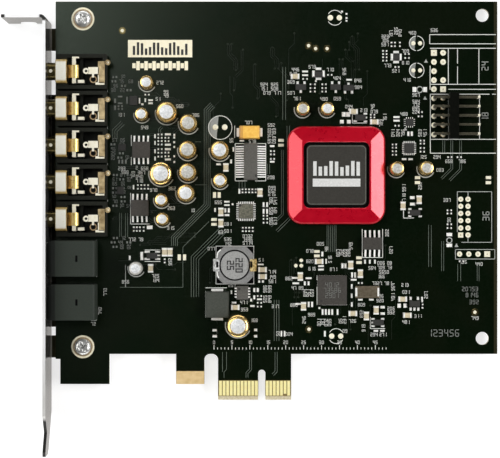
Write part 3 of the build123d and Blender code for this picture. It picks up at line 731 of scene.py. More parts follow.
def tiny(first, second):
    """Two-ended part between two board points along X or Y."""
    dx, dy = abs(second[0] - first[0]), abs(second[1] - first[1])
    upright = dy >= dx
    size = turned(upright, dx + dy, TINY_WIDTH * 0.8)
    bodies.stand((first[0] + second[0]) / 2, (first[1] + second[1]) / 2, *size, TINY_HEIGHT * 0.8)
    for x, y in (first, second):
        ends.stand(x, y, *turned(upright, TINY_END, TINY_WIDTH), TINY_HEIGHT, 0.08)


for left, right, rows in TINY_ACROSS:
    for row in each(rows):
        tiny(spot(left, row), spot(right, row))
for columns, upper, lower in TINY_UP:
    for column in each(columns):
        tiny(spot(column, upper), spot(column, lower))

# Solder lands, in photo pixels: columns, rows, width and height
LANDS = (
    (155, (136.2, 142.9, 151.2, 158.5), 1.6, 4.1), (167.9, (134.3, 144.7, 149.2, 159.5), 6, 2.2),
    (174.3, (134.9, 137.5, 142.2, 147, 156.3, 162), 1.8, 2.2), (145.3, 100.2, 1.6, 3.8),
    (139.5, 100.8, 1.6, 5.7), (150.6, (100.2, 103.3), 4.6, 1.9), (142.4, 104.3, 2.5, 2),
    (133.5, 187.2, 1.6, 4.5), (149.7, 227.3, 5.7, 3.6), (147.2, (251.9, 258.9), 5.4, 2.2),
    (157.7, (251.9, 255.4, 258.9), 5.1, 1.8), (129.7, 257.9, 2, 4.5), (141.8, 256, 2.9, 8.3),
    (241.9, 140.7, 4.5, 1.6), (272.2, (146.1, 161.7), 4.7, 2), (233.3, 149.3, 1.6, 4.5), (231, 161.4, 2, 4),
    (218.6, 164.3, 4.8, 2), (215.1, 210, 1.9, 3.8), (226.9, (201.7, 205.1), 5.4, 1.8),
    ((225.3, 228.8), 210.3, 1.9, 4.5), (226.9, 215.1, 4.8, 2.2), (232.6, 204.2, 1.9, 1.9),
    (239.3, 191.2, 1.9, 5), ((263.6, 267.1), (204.6, 211.3), 1.9, 4.8), (260.7, 264.5, 6, 1.6),
    (231.4, 292.2, 1.6, 3.8), ((254.2, 257.8), 290, 2.2, 4.1), (254.3, 297.3, 2, 4), (259.4, 299.3, 5, 1.8),
    (251.1, 300, 2.2, 3), (252.4, 306, 4.5, 2), (233.9, 302.6, 4.8, 2), ((259.1, 262.9), 281.4, 2, 2.5),
    (214.8, (330.2, 336.2), 4.5, 2.5), (255.6, (329.9, 336.2), 3.2, 2.6), ((281.4, 284.6), 333.7, 1.6, 5.7),
    (305.1, (71.5, 75.2), 6, 1.9), (349.1, 79.8, 5.7, 1.9), (351, 109.6, 5.7, 2),
    ((343.7, 348.1), 114.4, 3.8, 4.5), ((341.8, 348.8), 121.8, 3.8, 3.8), (322.3, 254, 2.2, 5),
    (326.1, 261.3, 1.6, 5), (321, (266.1, 269.6), 5.7, 2), ((342.4, 345.6), 265.8, 2.2, 5),
    ((352, 355.2), 275, 2, 5.4), ((365, 369.8, 374.9), 261.7, 1.8, 4), (294.9, 277.9, 6, 1.9),
    (295.8, 283.3, 6.7, 1.9), (308.6, 278.2, 6, 1.9), ((304.8, 308.6), 283.3, 2, 4), (298.2, 304, 6, 1.9),
    ((308.6, 312.1), 304.4, 2, 5.4), (319.4, 308, 2, 2), ((322.6, 325.8, 329, 332.2, 337.6), 312, 1.9, 5.7),
    (351.8, (286.5, 295.7, 304.4), 2, 4.7), (353.6, 279.8, 6, 2), ((360.3, 371.4), 299.6, 4.8, 2),
    (324.9, 333.7, 1.9, 5.7), (382.6, (307.2, 313.6), 4.5, 2.6), ((375.9, 382.3), 330.8, 4.5, 2),
    (396.5, (117.1, 120.7), 6.3, 2), ((408.3, 411.8), 133.7, 2.2, 4.6), ((404.1, 410.6), 159.2, 4.6, 2),
    (412.5, (197.6, 204.1), 5, 3), ((399.1, 405.2), 305.7, 3.4, 4.2), (422.1, 299.6, 1.9, 5.4),
    ((414.4, 425.1), 89.6, 3.8, 5), (449.3, (234.5, 245.3), 5.7, 3.4), (342, 11.6, 1.9, 1.9),
    (346.5, (13.8, 18, 20.8), 1.9, 1.9), (315.9, 81.1, 1.9, 1.9),
)
LAND_HEIGHT = 0.24
ends.pads(LANDS, LAND_HEIGHT)

# Bent leads and flat side contacts of the chips
LEAD_GAUGE = 0.2
LEAD_KNEE = 0.9
LEAD_FOOT = 0.7
CONTACT_PROUD = 0.04
CONTACT_HEIGHT = 0.25
CORNERS = ((-1, -1), (1, -1), (1, 1), (-1, 1))
leads = new_piece("chip_leads", "tinned", "tinned")


def chip_body(chip, material, inset_x, inset_y):
    """Moulded body that stands for a chip and leaves room for its contacts."""
    (x, y, _), size, high = span(chip)
    wide, deep = size.x / 2 - inset_x, size.y / 2 - inset_y
    levels = ((0.16, TOP + 0.05), (0.0, (TOP + high) / 2), (0.14, high - 0.05), (0.2, high))
    body = new_piece(f"{chip}_body", material, "chip_epoxy", chip, smooth=20.0)
    body.loft([rectangle(x, y, wide - inset, deep - inset, z) for inset, z in levels])


def gull_wings(chip, upright, count, pitch, tip_to_tip, width, inset=0.0):
    """Two rows of bent leads on a chip, spaced along X, or along Y if they are upright."""
    (x, y, _), size, _ = span(chip)
    half = (size.x if upright else size.y) / 2 - inset
    foot, knee = TOP + LEAD_GAUGE / 2, TOP + LEAD_KNEE
    tip = tip_to_tip / 2
    profile = ((half - 0.1, knee), (half + 0.25, knee), (tip - LEAD_FOOT, foot), (tip, foot))
    for side in (-1, 1):
        for n in range(count):
            offset = (n - (count - 1) / 2) * pitch
            sections = []
            for reach, z in profile:
                section = []
                for across, rise in CORNERS:
                    dx, dy = turned(upright, offset + across * width / 2, side * reach)
                    section.append((x + dx, y + dy, z + rise * LEAD_GAUGE / 2))
                sections.append(section)
            leads.loft(sections)


def side_contacts(chip, count, pitch, inset, width):
    """Flat contacts along all four sides of a chip, from under its body to the edge of its place."""
    (x, y, _), size, _ = span(chip)
    reach = inset + 0.3
    for side in (-1, 1):
        dx, dy = (side * ((across - reach) / 2 + CONTACT_PROUD) for across in size.xy)
        for n in range(count):
            offset = (n - (count - 1) / 2) * pitch
            leads.stand(x + dx, y + offset, reach, width, CONTACT_HEIGHT, 0.04)
            leads.stand(x + offset, y + dy, width, reach, CONTACT_HEIGHT, 0.04)


CHIP_BODIES = (
    ("converter_chip", "pale_epoxy", 0.4, 0.0), ("codec_chip", "speckled_epoxy", 0.62, 0.62),
    ("clock_chip", "chip_epoxy", 0.5, 0.5), ("buffer_chip", "chip_epoxy", 0.4, 0.4),
)
BENT_LEADS = (
    ("amplifier_chip_1", False, 4, 1.27, 7.9, 0.5), ("amplifier_chip_2", False, 4, 1.27, 7.9, 0.5),
    ("flash_chip", False, 4, 1.27, 7.4, 0.5), ("converter_chip", True, 14, 0.65, 8.3, 0.36, 0.4),
    ("power_chip", True, 4, 0.8, 4.4, 0.42),
)
FLAT_CONTACTS = (
    ("codec_chip", 9, 0.52, 0.62, 0.3), ("bridge_chip", 16, 0.46, 0.0, 0.24),
    ("clock_chip", 6, 0.56, 0.5, 0.3), ("buffer_chip", 4, 0.56, 0.4, 0.22),
)
for make, rows in ((chip_body, CHIP_BODIES), (gull_wings, BENT_LEADS), (side_contacts, FLAT_CONTACTS)):
    for row in rows:
        make(*row)

# Small transistors: lands in photo pixels round the CAD bodies, and the four ends of two larger parts
TRANSISTOR_LANDS = (
    ((297.6, 304.5), 83, 2.4, 3.4), (300.8, 91.3, 2.4, 3.4), ((332.2, 339.1), 83, 2.4, 3.4),
    (335.8, 91.3, 2.4, 3.4), (348.5, 84.3, 2.4, 3.4), ((345, 352), 92, 2.4, 3.4),
    (355.2, (113.7, 121), 3.6, 2), (365.4, (113.7, 117.6, 121.4), 3.6, 2), (373, (319, 322.6, 326), 3.4, 2),
    (382.6, (319, 326), 3.4, 2), (409.8, (209.2, 212.6, 216), 3.4, 2), (420.2, (209, 216.2), 3.4, 2),
    ((410.6, 417.9), 298.4, 2.2, 3.4), ((410.6, 414.4, 418.3), 309.1, 2.2, 3.4),
)
FOUR_ENDED = ((396.1, 57.1, 4.3), (318.5, 73.8, 5.0))
SIDE_END = (0.75, 1.9)
LOW_END = (1.6, 0.75)
LOW_END_REACH = 4.9
FOOT_HEIGHT = 0.3
leads.pads(TRANSISTOR_LANDS, FOOT_HEIGHT, 0.12)
part_high = span("transistors")[2] + 0.04
for px, py, reach in FOUR_ENDED:
    for side in (-1, 1):
        leads.block(*spot(px + side * reach, py), *SIDE_END, TOP, part_high, 0.12)
        leads.stand(*spot(px, py + side * LOW_END_REACH), *LOW_END, FOOT_HEIGHT, 0.1)

# Small printed rings with their radius, and triangles, in photo pixels
RING_MARKS = ((419.7, 89.6, 3), (449.3, 240.3, 2.6))
TRIANGLES = ((426, 61), (425, 98), (456.5, 245.3), (405.2, 128.8))
for x, y, radius in spread(RING_MARKS):
    grey.arc(x, y, length(radius), 0.28, sides=24)
for x, y in spread(TRIANGLES):
    grey.prism([(x - 0.55, y - 0.45), (x + 0.55, y - 0.45), (x, y + 0.55)], TOP, TOP + PRINT_RISE)

# Parts and numbers in the shade of the jacks, in photo pixels: areas filled at random, lands and chips; the
# small parts, lands and numbers there are painted dim, as painted shade
DIM_AREAS = ((111, 77, 129, 95), (111, 140, 127, 160), (111, 175, 129, 212), (111, 238, 128, 250))
DIM_LANDS = (
    (120.1, (96.6, 103.3), 4.5, 1.6), (115, (100.8, 107.8), 2, 4.5), (127.1, 100.2, 1.6, 7),
    ((119.1, 122.3, 125.8), 161.7, 1.8, 4), ((118.5, 122), (106.2, 109.1), 1.7, 1.9),
)
DIM_CHIPS = ((133.5, 100.8, 8.3, 9.6), (122, 147.5, 8, 7), (120.5, 190.5, 7, 8))
ROW_STEP = 4.4
ROW_INDENT = (0, 3)
COLUMN_STEP = (6.5, 9)
NUMBER_SHARE = 0.55
for left, upper, right, lower in DIM_AREAS:
    for row in range(round((lower - upper) / ROW_STEP)):
        column = left + draw.uniform(*ROW_INDENT)
        while column < right:
            x, y = spot(column, upper + row * ROW_STEP)
            if draw.random() < NUMBER_SHARE:
                number(dim, x + 0.5, y, random_digits(2), draw.choice((0, 1)))
            else:
                for shift in (0, 0.9):
                    dim.stand(x + shift, y, 0.5, 0.6, 0.2, 0.06)
            column += draw.uniform(*COLUMN_STEP)
dim.pads(DIM_LANDS, LAND_HEIGHT, 0.08)
new_piece("dim_chips", "chip_epoxy", "chip_epoxy").pads(DIM_CHIPS, 0.8, 0.12)

# Ceramic chip capacitors in millimetres, along X and along Y
CERAMICS_ACROSS = (
    (0.2, 36.3), (0.2, 34.4), (-7.4, 25.8), (9.3, 90.2), (25.6, 80.4), (31.4, 77.5), (16, 38.6),
    (25.4, 24.1), (39.3, 28.1), (40.6, 23.6),
)
CERAMICS_UP = (
    (-27.1, 41.2), (-31, 36.7), (-10, 64.8), (-11.4, 52.4), (-11.4, 49.3), (-0.5, 57.8), (24.8, 37.6),
    (27.5, 35.2), (10.75, 34.4), (11.65, 26.1), (29.2, 23.4), (31.9, 25), (-25.6, 41.2), (39.4, 54.1),
    (43.9, 55.8),
)
CERAMIC_LENGTH = 2.45
CERAMIC_WIDTH = 1.4
CERAMIC_HEIGHT = 0.9
CERAMIC_END = 0.62
ceramic_bodies = new_piece("ceramic_bodies", "ceramic")
ceramic_ends = new_piece("ceramic_ends", "tinned", "tinned")
for upright, places in ((False, CERAMICS_ACROSS), (True, CERAMICS_UP)):
    for x, y in places:
        size = turned(upright, CERAMIC_LENGTH - 0.4, CERAMIC_WIDTH)
        ceramic_bodies.stand(x, y, *size, CERAMIC_HEIGHT, 0.06)
        size = turned(upright, CERAMIC_END, CERAMIC_WIDTH + 0.14)
        for side in (-1, 1):
            dx, dy = turned(upright, side * (CERAMIC_LENGTH - CERAMIC_END) / 2, 0)
            ceramic_ends.stand(x + dx, y + dy, *size, CERAMIC_HEIGHT + 0.04, 0.1)


def joint(batch, x, y, radius=0.85, drop=0.8):
    """Solder cone round a lead on the back of the board."""
    batch.lathe(x, y, ((0.3 * radius, -drop), (0.48 * radius, -0.6 * drop), (radius, 0)), 16, BOTTOM)


# Electrolytic cans in millimetres: place and diameter, as in the CAD
LARGE_CANS = ((-28.0, 63.0, 6.1), (-6.6, 20.8, 6.1), (-26.4, 80.0, 5.6))
MEDIUM_CANS = (
    (-20.4, 77, 4.8), (-20.6, 69.6, 4.8), (-20.6, 63.4, 4.8), (-21.1, 57.6, 4.8), (-11.7, 69.5, 5),
)
SMALL_CANS = (
    (-32, 88.3, 3.7), (-33.4, 79.5, 3.6), (-27.9, 55.7, 3.6), (-27.6, 50.4, 3.6), (-11.6, 61.1, 3.9),
    (-35, 36.7, 3.7), (11.4, 81, 3.7), (18.2, 81, 3.7), (37.5, 64.4, 3.9), (45.7, 64.5, 3.9),
)
PALE_CAN = (-35.0, 36.7)
GREY_TOPS = ((-20.4, 77), (-20.6, 69.6), (-20.6, 63.4), (37.5, 64.4), (45.7, 64.5), (11.4, 81))
CAN_SIZES = ((LARGE_CANS, 6.6, 0.35), (MEDIUM_CANS, 5.8, 0.365), (SMALL_CANS, 5.3, 0.365))
SCORE_TURN = 0.4
can_sleeves = new_piece("can_sleeves", "capacitor_can", "capacitor_can", "electrolytic_capacitors")
pale_sleeve = new_piece("pale_can_sleeve", "can_grey", "capacitor_can")
can_tops = new_piece("can_tops", "can_top", "capacitor_can")
grey_tops = new_piece("grey_can_tops", "can_grey", "capacitor_can")
can_scores = new_piece("can_scores", "can_score")
can_joints = new_piece("can_joints", "solder", "tinned")
for cans, rise, share in CAN_SIZES:
    for x, y, across in cans:
        side, r, high = across / 2, share * across, TOP + rise
        sleeve = (
            (side - 0.2, 0), (side, 0.2), (side, 0.7), (side - 0.14, 0.95), (side, 1.2),
            (side, rise - 0.8), (side - 0.06, rise - 0.45), (0.55 * side + 0.45 * r, rise - 0.1),
            (r, rise), (r - 0.1, rise - 0.12),
        )
        (pale_sleeve if (x, y) == PALE_CAN else can_sleeves).lathe(x, y, sleeve, 40, TOP)
        lid = ((r - 0.05, -0.3), (r - 0.05, -0.08), (r - 0.16, -0.02))
        (grey_tops if (x, y) in GREY_TOPS else can_tops).lathe(x, y, lid, 32, high)
        for turn in (SCORE_TURN, SCORE_TURN + math.pi / 2):
            can_scores.stroke(around(x, y, 0.8 * r, (turn + math.pi, turn)), 0.07, high - 0.04, high)
        grey.arc(x, y, side + 0.5, 0.3, start=165, sweep=170)
        for lead in (-0.2, 0.2):
            joint(can_joints, x + lead * across, y)

# Contact fingers on both faces, the bare field round them, and the plated band on the retention hook
FINGER_WIDTH = 0.76
FINGER_LOW = 1.2
FINGER_HIGH = 5.3
FINGER_RISE = 0.035
FINGER_COLUMNS = [-1.5 - n for n in range(11)] + [1.5 + n for n in range(7)]
SHORT_FINGER = 6.5
SHORT_BY = 0.5
FIELDS = ((-12.1, -0.95), (0.95, 8.1))
FIELD_MARGIN = 0.3
FIELD_RISE = 0.01
HOOK_BAND = (-19.95, 6.2, 7.8, 3.6)
fingers = new_piece("contact_fingers", "finger_gold", "gold_plate")
field = new_piece("connector_field", "bare_laminate")
hook = new_piece("hook_band", "hook_gold", "gold_plate")


def on_both_faces(batch, rise, *place):
    """Thin plate on the front of the board and another on its back."""
    batch.block(*place, TOP, TOP + rise)
    batch.block(*place, BOTTOM - rise, BOTTOM)


for x in FINGER_COLUMNS:
    low = FINGER_LOW + (SHORT_BY if x == SHORT_FINGER else 0.0)
    on_both_faces(fingers, FINGER_RISE, x, (low + FINGER_HIGH) / 2, FINGER_WIDTH, FINGER_HIGH - low)
for left, right in FIELDS:
    size = right - left, FINGER_HIGH - FINGER_LOW + FIELD_MARGIN
    on_both_faces(field, FIELD_RISE, (left + right) / 2, (FINGER_LOW + FINGER_HIGH) / 2, *size)
on_both_faces(hook, FINGER_RISE, *HOOK_BAND)

# Pan-head screws with a cross recess, the bare rings round them, and a brown ring of painted shade between
# each head and its bare ring
SCREWS = ((-49.9, 106.25), (-49.9, 14.8))
SHANK_RADIUS = 1.35
HEAD_RADIUS = 2.35
SCREW_HEAD = ((HEAD_RADIUS, 1.1), (2.2, 0.7), (1.85, 0.35), (1.3, 0.12), (0.7, 0.02), (0.2, 0.0))
SCREW_RING = (2.95, 0.5)
SCREW_SHADE_RING = (2.5, 0.4)
RECESS_TURN = 0.5
RECESS = ((0.75, 0.15, -1.0), (1.5, 0.375, 0.1))
screw_rings = new_piece("screw_rings", "gold_print", "gold_plate")
screw_shade_rings = new_piece("screw_shade_rings", "eyelet_brown", "gold_plate")
screws = new_piece("screw_heads", "screw_steel", "screw_steel", "bracket_screws")
screws.cutter = Batch("screw_recesses", "screw_steel")
screw_low, screw_high = (corner.z for corner in extent("bracket_screws"))
for x, y in SCREWS:
    screw_rings.arc(x, y, *SCREW_RING)
    # Painted shade: brown ring in the gap between the head and the bare ring
    screw_shade_rings.arc(x, y, *SCREW_SHADE_RING, high=TOP + TRACE_RISE)
    shank = ((SHANK_RADIUS, screw_low), (SHANK_RADIUS, TOP + FILM), (HEAD_RADIUS, TOP + FILM))
    screws.lathe(x, y, shank + tuple((r, screw_high - drop) for r, drop in SCREW_HEAD), 36)
    for turn in (RECESS_TURN, RECESS_TURN + math.pi / 2):
        c, s = math.cos(turn), math.sin(turn)
        sections = []
        for reach, half, rise in RECESS:
            corners = [(u * reach, v * half) for u, v in CORNERS]
            sections.append([(x + u * c - v * s, y + u * s + v * c, screw_high + rise) for u, v in corners])
        screws.cutter.loft(sections)

# Oblong lands, round eyelets and solder domes, in photo pixels: columns, rows, then sizes or a radius
PADS = (
    (281.1, (140.4, 145.2), 5.7, 2.9), (316.9, (251.5, 255.9), 5.7, 2.9), (359, (257.8, 262.5), 5.7, 2.9),
    (214.1, (219.5, 224.3), 5.7, 2.9), ((214.5, 219.2), 195, 3.2, 5.7),
    ((417.5, 488.4), (177.6, 182.6), 5.4, 3.1), ((179.3, 184.5), 257.3, 3.2, 6),
)
DOMES = (
    (107.7, (62.8, 99.8, 136.4, 172.6, 209.2), 2.4), ((215.3, 224.7), 127.2, 2.9),
    ((330.4, 339.4), 17.7, 2.8), ((331.7, 340.7), 336.1, 2.7), (301.3, (260.4, 265.7), 1.9),
    (295.8, 265.7, 1.9), ((413.3, 420.1), (43.3, 70.4), 2.2),
)
EYELETS = (
    (460.7, (199.2, 206.3, 213.4, 220.6, 228), 2.65), (468, (199.2, 206.3, 213.4, 220.6, 228, 235), 2.65),
    ((459.6, 468.8, 478), 254.1, 2.7), (433.9, (62, 71.2, 80.2, 89.2), 2.9), (443.1, (52.8, 62, 80.2), 2.9),
)
SQUARE_EYELETS = ((460.7, 235, 2.6), (487.2, 254.1, 2.9), (433.9, 52.8, 3), (443.1, 89.2, 2.9))
HEADER_ROWS = (98.4, 107.3, 116.3, 125.1, 134.6)
HEADER_RADIUS = 2.7
VIAS = ((308.6, 45.7), ((315.6, 327.1), 48.6), (122.3, 30.6), (308.9, 329.2), (474.9, 312.2))

# Their profiles of radius and height in millimetres, with the dome's radii as shares of its own
HOLE = ((0.19, 0.05), (0.15, 0.14))
PIN_STUB = ((0.62, 0.05), (0.5, 0.3), (0.38, 0.5))
DOME = ((1.0, 0), (0.92, 0.1), (0.55, 0.28), (0.2, 0.33))
VIA_LAND = ((0.5, 0.04), (0.4, 0.16), (0.15, 0.2))
VIA_RING = ((0.95, 0), (0.9, 0.05), (0.6, 0.05))
eyelet_holes = new_piece("eyelet_holes", "eyelet_brown", "gold_plate")
lands = new_piece("round_lands", "cream_pad", "tinned")
rings = new_piece("via_rings", "dark_gold", "gold_plate")
lands.pads(PADS, 0.12, 0.06)
for x, y, radius in spread(EYELETS):
    r = length(radius)
    lands.lathe(x, y, ((r, 0), (0.9 * r, 0.08), (0.3, 0.1)), 20, TOP)
    eyelet_holes.lathe(x, y, HOLE, 12, TOP)
for x, y, half in spread(SQUARE_EYELETS):
    lands.stand(x, y, 2 * length(half), 2 * length(half), 0.1, 0.08)
    eyelet_holes.lathe(x, y, HOLE, 12, TOP)
header_eyelets = ((433.9, HEADER_ROWS, lands), (443.1, HEADER_ROWS, eyelet_holes))
for x, y, batch in spread(header_eyelets):
    r = length(HEADER_RADIUS)
    batch.lathe(x, y, ((r, 0), (0.9 * r, 0.06), (0.45, 0.1)), 20, TOP)
    lands.lathe(x, y, PIN_STUB, 16, TOP)
for x, y, radius in spread(DOMES):
    r = length(radius)
    lands.lathe(x, y, [(share * r, z) for share, z in DOME], 18, TOP)
for x, y in spread(VIAS):
    lands.lathe(x, y, VIA_LAND, 16, TOP)
    rings.lathe(x, y, VIA_RING, 20, TOP)

# Printed circles of parts that are not fitted, in photo pixels: place, radius, and whether the ring has gaps
HALF_CIRCLES = ((220.2, 127.6, 11.8, False), (416.7, (43.3, 70.4), 7.3, True))
OPEN_CIRCLES = ((334.9, 17.7), (336.2, 336.1))
HALF_TURN = [math.radians(t) for t in range(98, 263, 11)]
dim_fills = new_piece("print_fills", "dim_print")
pale_fills = new_piece("pale_fills", "pale_print")
for x, y, radius, gaps in spread(HALF_CIRCLES):
    r = length(radius)
    for start, sweep in ((96, 168), (276, 168)) if gaps else ((0, 360),):
        white.arc(x, y, r, FINE_WIDTH, start=start, sweep=sweep)
    (dim_fills if gaps else pale_fills).prism(around(x, y, r, HALF_TURN), TOP, TOP + FILM)
for x, y in spread(OPEN_CIRCLES):
    for start in (30, 210):
        white.arc(x, y, length(7.5), FINE_WIDTH, start=start, sweep=120)

# Made-up numbers beside the parts, in photo pixels: columns, rows, and the count of digits if it isn't three
LABELS_ACROSS = (
    (160, 82.6), (166, 91.9, 2), (166.3, 95.7, 2), (158, 98.9, 2), (179.7, 106.2), (195.7, 115.1),
    (121, 114.8), (144.6, 127.4), (136.7, 167.7, 1), (144.6, 168.4), (141.5, 172.5),
    (139.5, (176.7, 180.8)), (121.7, 168.4), (124.9, 172.2), (153.6, 190.1), (172.1, 188.5), (132.2, 239.4),
    (140.8, 239.4, 2), (170.8, 228), (171.4, 208.2), (192.5, 210.4, 2), (155.5, (275.8, 280.3)),
    (125.5, 281.8), (248.6, 122.5), (252.4, 141.3), (271.2, 125.1), (270.9, 177.4), (218.3, 202.3),
    (227.8, 224), (220.8, 232.3, 2), (227.8, (231, 239.3, 243.8)), (271.9, (187.8, 191, 194.2)),
    (247.6, (236.2, 239.6, 243), 4), (211.3, 248.6), (261, 260, 2), (272.3, (271.8, 276.9, 281.4)),
    (232, 285.2), (275.4, 306.3), (243.8, 302.4), (244.4, 309.5), (254, 320.3), (289, 334), (295.5, 69.6),
    (293.3, 73.8), (294.6, 77.6), (291, 82), (312.2, 66.8), (330.3, 69.6), (337, 78.2), (358, 80.5),
    (358.3, 87.2), (291, 92.9), ((337.3, 297), 98.6), (324, 99), (348.8, 106.7), (363.8, 110.2),
    (374.3, 111.5), (320.4, 243.8), (309.9, (251, 261.3)), (312.1, 268.7), (333.5, 269.3), (372, 268),
    (289, 278.5), ((294, 301), 288, 2), (294, 305), (311.5, 314.6), (361.5, 304.7), (352.5, 321),
    (345, 331, 2), ((374, 383), 334.5), (412.5, 33), (434.3, 30.3), (407.2, 80), (405.3, 51), (405.6, 62.8),
    (387.7, 65.5), (395.7, 70.8), (416, (95, 104.9)), (404, 114), (423, 157), ((448.9, 462.2), 161.3),
    (437, 157), (440, 170), (447, 200), (463, 262), (479, 264), (405, 285), (406, 292), (418, 316),
    (406, 322), (475, 318), (93.4, 323.8, 2), (416, (101.5, 108.5, 112)), (385, (36.5, 40.5, 44.5)),
    (381, 263), (389.5, 263, 2), (381, 267.5), (389.5, 267.5, 2), (384, 272, 4), (381, 276.5),
    (377, 283.3, 4), (388, 283.3), (391, (308.5, 312.5)), (381, 296, 2), (380, 300.5), ((264, 274.5), 84.5),
    ((264, 274.5), 88.7), ((267, 277.5), 92.9),
)
LABELS_TURNED = (
    (133.2, 174.8), (170.2, 261.8), (231.4, 140.4, 2), (269.5, (132, 140)), (274, (132, 140)),
    (271, (201, 211, 221)), (275.2, (201, 211, 221)), (265, (289, 299)), (269.6, (289, 299)),
    (278, 333.7, 2), (344.3, 71.5), (372.7, 106.4, 2), (381, 123), (326.5, 249, 2), (330, 259.4),
    (350.7, 246), (304, 320), (340.5, 321, 2), (344.5, 320), (361.5, 314), (363.5, 328), (391, 34),
    (396, 31), (400, 33), (385, 117.5), ((393, 398, 403, 420, 425), 133), (404, (188, 197)), (420, 186),
    (449, 220, 2), (426, 295), (105.2, 292), (100, 311), ((338, 341.5, 345, 348.5), 253),
    ((305, 308.5, 312), 293), ((319, 322.5, 326, 329.5), 322.5), (393, (287, 297)), (387, 233), (391, 250),
)
for labels, turn in ((LABELS_ACROSS, 0), (LABELS_TURNED, 1)):
    for x, y, *count in spread(labels):
        number(white, x, y, random_digits(*count), turn)

# Larger plain numbers at the unfitted headers and the lower right corner
LARGE_STROKE = 0.19
HEADER_NUMBERS = ((485, 66, (2, 4)), (485, 117, (1, 8)), (486, 216, (3, 6)))
CORNER_NUMBERS = ((470, 289, (2, 0, 7, 5, 3)), (472, 295, (8, 1, 4, 6)), (474, 302, (3, 9, 2)))
for x, y, digits in spread(HEADER_NUMBERS):
    number(grey, x, y, digits, 1, 2.0, LARGE_STROKE)
number(dim, *spot(443.5, 333), (1, 2, 3, 4, 5, 6), 0, 2.1, LARGE_STROKE)
for x, y, digits in spread(CORNER_NUMBERS):
    number(dim, x, y, digits, 0, 1.3)

# Millimetre scale along the lower edge
SCALE_START = (214, 349.5)
SCALE_LENGTH = 48
LONG_TICK = 1.2
SHORT_TICK = 0.6
FIGURE_RISE = 2.0
x, y = spot(*SCALE_START)
for n in range(SCALE_LENGTH + 1):
    tall = SHORT_TICK if n % 5 else LONG_TICK
    white.stand(x + n, y + tall / 2, FINE_WIDTH, tall, PRINT_RISE)
    if n % 5 == 0:
        number(white, x + n, y + FIGURE_RISE, [int(figure) for figure in str(n)])

# Level meter in gold print, in photo pixels
METER_LEFT = 128
METER_RIGHT = 192.3
METER_BARS = 14
gold = new_piece("gold_print", "gold_print", "gold_plate")
meter_gaps = new_piece("meter_gaps", "dark_print")
gold.stand(*spot(160.1, 48.6), length(METER_RIGHT - METER_LEFT), length(17.3), PRINT_RISE)
bar_step = (METER_RIGHT - METER_LEFT - 8) / METER_BARS
for n in range(METER_BARS):
    height = 4 + 9 * abs(math.sin(0.75 * n + 0.6))
    px = METER_LEFT + 4 + (n + 0.5) * bar_step
    meter_gaps.stand(*spot(px, 55 - height / 2), length(2.4), length(height), PRINT_RISE + FILM)
    gold.stand(*spot(px, 65.7), length(3.4), length(9 if n % 2 else 5), PRINT_RISE)

# Jacks: a formed sleeve over each barrel and the springs in each open frame, in millimetres
JACK_ROWS = (91.2, 81.0, 70.8, 60.6, 50.4)
OPTICAL_ROWS = (39.5, 27.5)
WALL_TOP = 6.4
STRIP_TOP = 6.7
POCKET_FLOOR = 2.2
RIB_TOP = 3.9
SLEEVE_WALL = 0.2
SLEEVE_REACH = 3.25
SLEEVE_HALF = ((SLEEVE_REACH, 6.0), (SLEEVE_REACH, 7.9), (3.05, 8.6), (2.6, 9.0), (2.0, 9.12))
SLEEVE_ENDS = ((-56.9, 0.12), (-56.75, 0.0), (-53.95, 0.0), (-53.8, 0.12))
CREST = 8.25
LEAF_NEAR = 1.8
LEAF_FAR = 1.75
LEAF_GAUGE = 0.25
LEAF_PATH = ((-53.8, 6.3), (-53.2, 6.75), (-52.4, 7.0), (-51.6, 6.95), (-50.9, 6.6), (-50.6, 6.2))

# Bars of the springs: X limits, Y limits from the jack's axis, and Z limits where they differ from the others
STRIP_BARS = (
    (-52.45, -51.35, 1.5, 4.1, WALL_TOP, STRIP_TOP + 0.1), (-52.45, -50.5, 3.6, 4.1),
    (-52.45, -51.35, -3.1, -1.5, WALL_TOP, STRIP_TOP + 0.1),
    (-52.45, -51.35, -3.3, -3.05, POCKET_FLOOR, STRIP_TOP),
    (-50.9, -49.1, -3.2, -2.3, RIB_TOP, WALL_TOP), (-48.0, -45.0, -0.75, 1.2), (-46.95, -46.35, -1.7, -0.7),
    (-46.0, -43.5, -3.7, -3.0), (-45.3, -45.05, -3.3, -1.0, STRIP_TOP, STRIP_TOP + 0.06),
)
REAR_BARS = ((-45.3, -43.4, -3.3, 2.8), (-43.6, -43.1, 2.1, 2.8), (-42.88, -42.6, 2.1, 2.8, TOP, STRIP_TOP))

# Eyes in the springs, their Y measured from the jack's axis, a painted highlight dot on the crest of each
# nose and a dot in the rear eye
STRIP_EYE = (-48.58, 0.1)
REAR_EYE = (-42.6, 2.45)
DARK_EYE = (-46.6, -2.2)
CREST_X = -58.2
CREST_HIGHLIGHT = ((0.5, -0.12), (0.48, 0.05), (0.42, 0.08))
REAR_DOT = ((0.4, -0.25), (0.36, -0.1), (0.15, -0.06))
EYE_DEPTH = 0.3
dark_rings = new_piece("jack_rings", "eyelet_brown", "spring_bronze")
crest_highlights_and_eye_dots = new_piece("jack_crest_highlights_and_eye_dots", "cream_gold", "gold_plate")


def bars(batch, y, table):
    """Boxes between X and Y limits, their Y limits measured from a jack's axis."""
    for left, right, near, far, *heights in table:
        place = (left + right) / 2, y + (near + far) / 2, right - left, far - near
        batch.block(*place, *(heights or (WALL_TOP, STRIP_TOP)), 0.04)


def sleeve_section(x, y, inset):
    """Outline of the sheet bent over a barrel, at one place along it."""
    half = [(across - inset, z - inset) for across, z in SLEEVE_HALF]
    outer = half + [(-across, z) for across, z in reversed(half)]
    share = 1 - SLEEVE_WALL / SLEEVE_REACH
    inner = [(across * share, z - SLEEVE_WALL) for across, z in reversed(outer)]
    return [(x, y + across, z) for across, z in outer + inner]


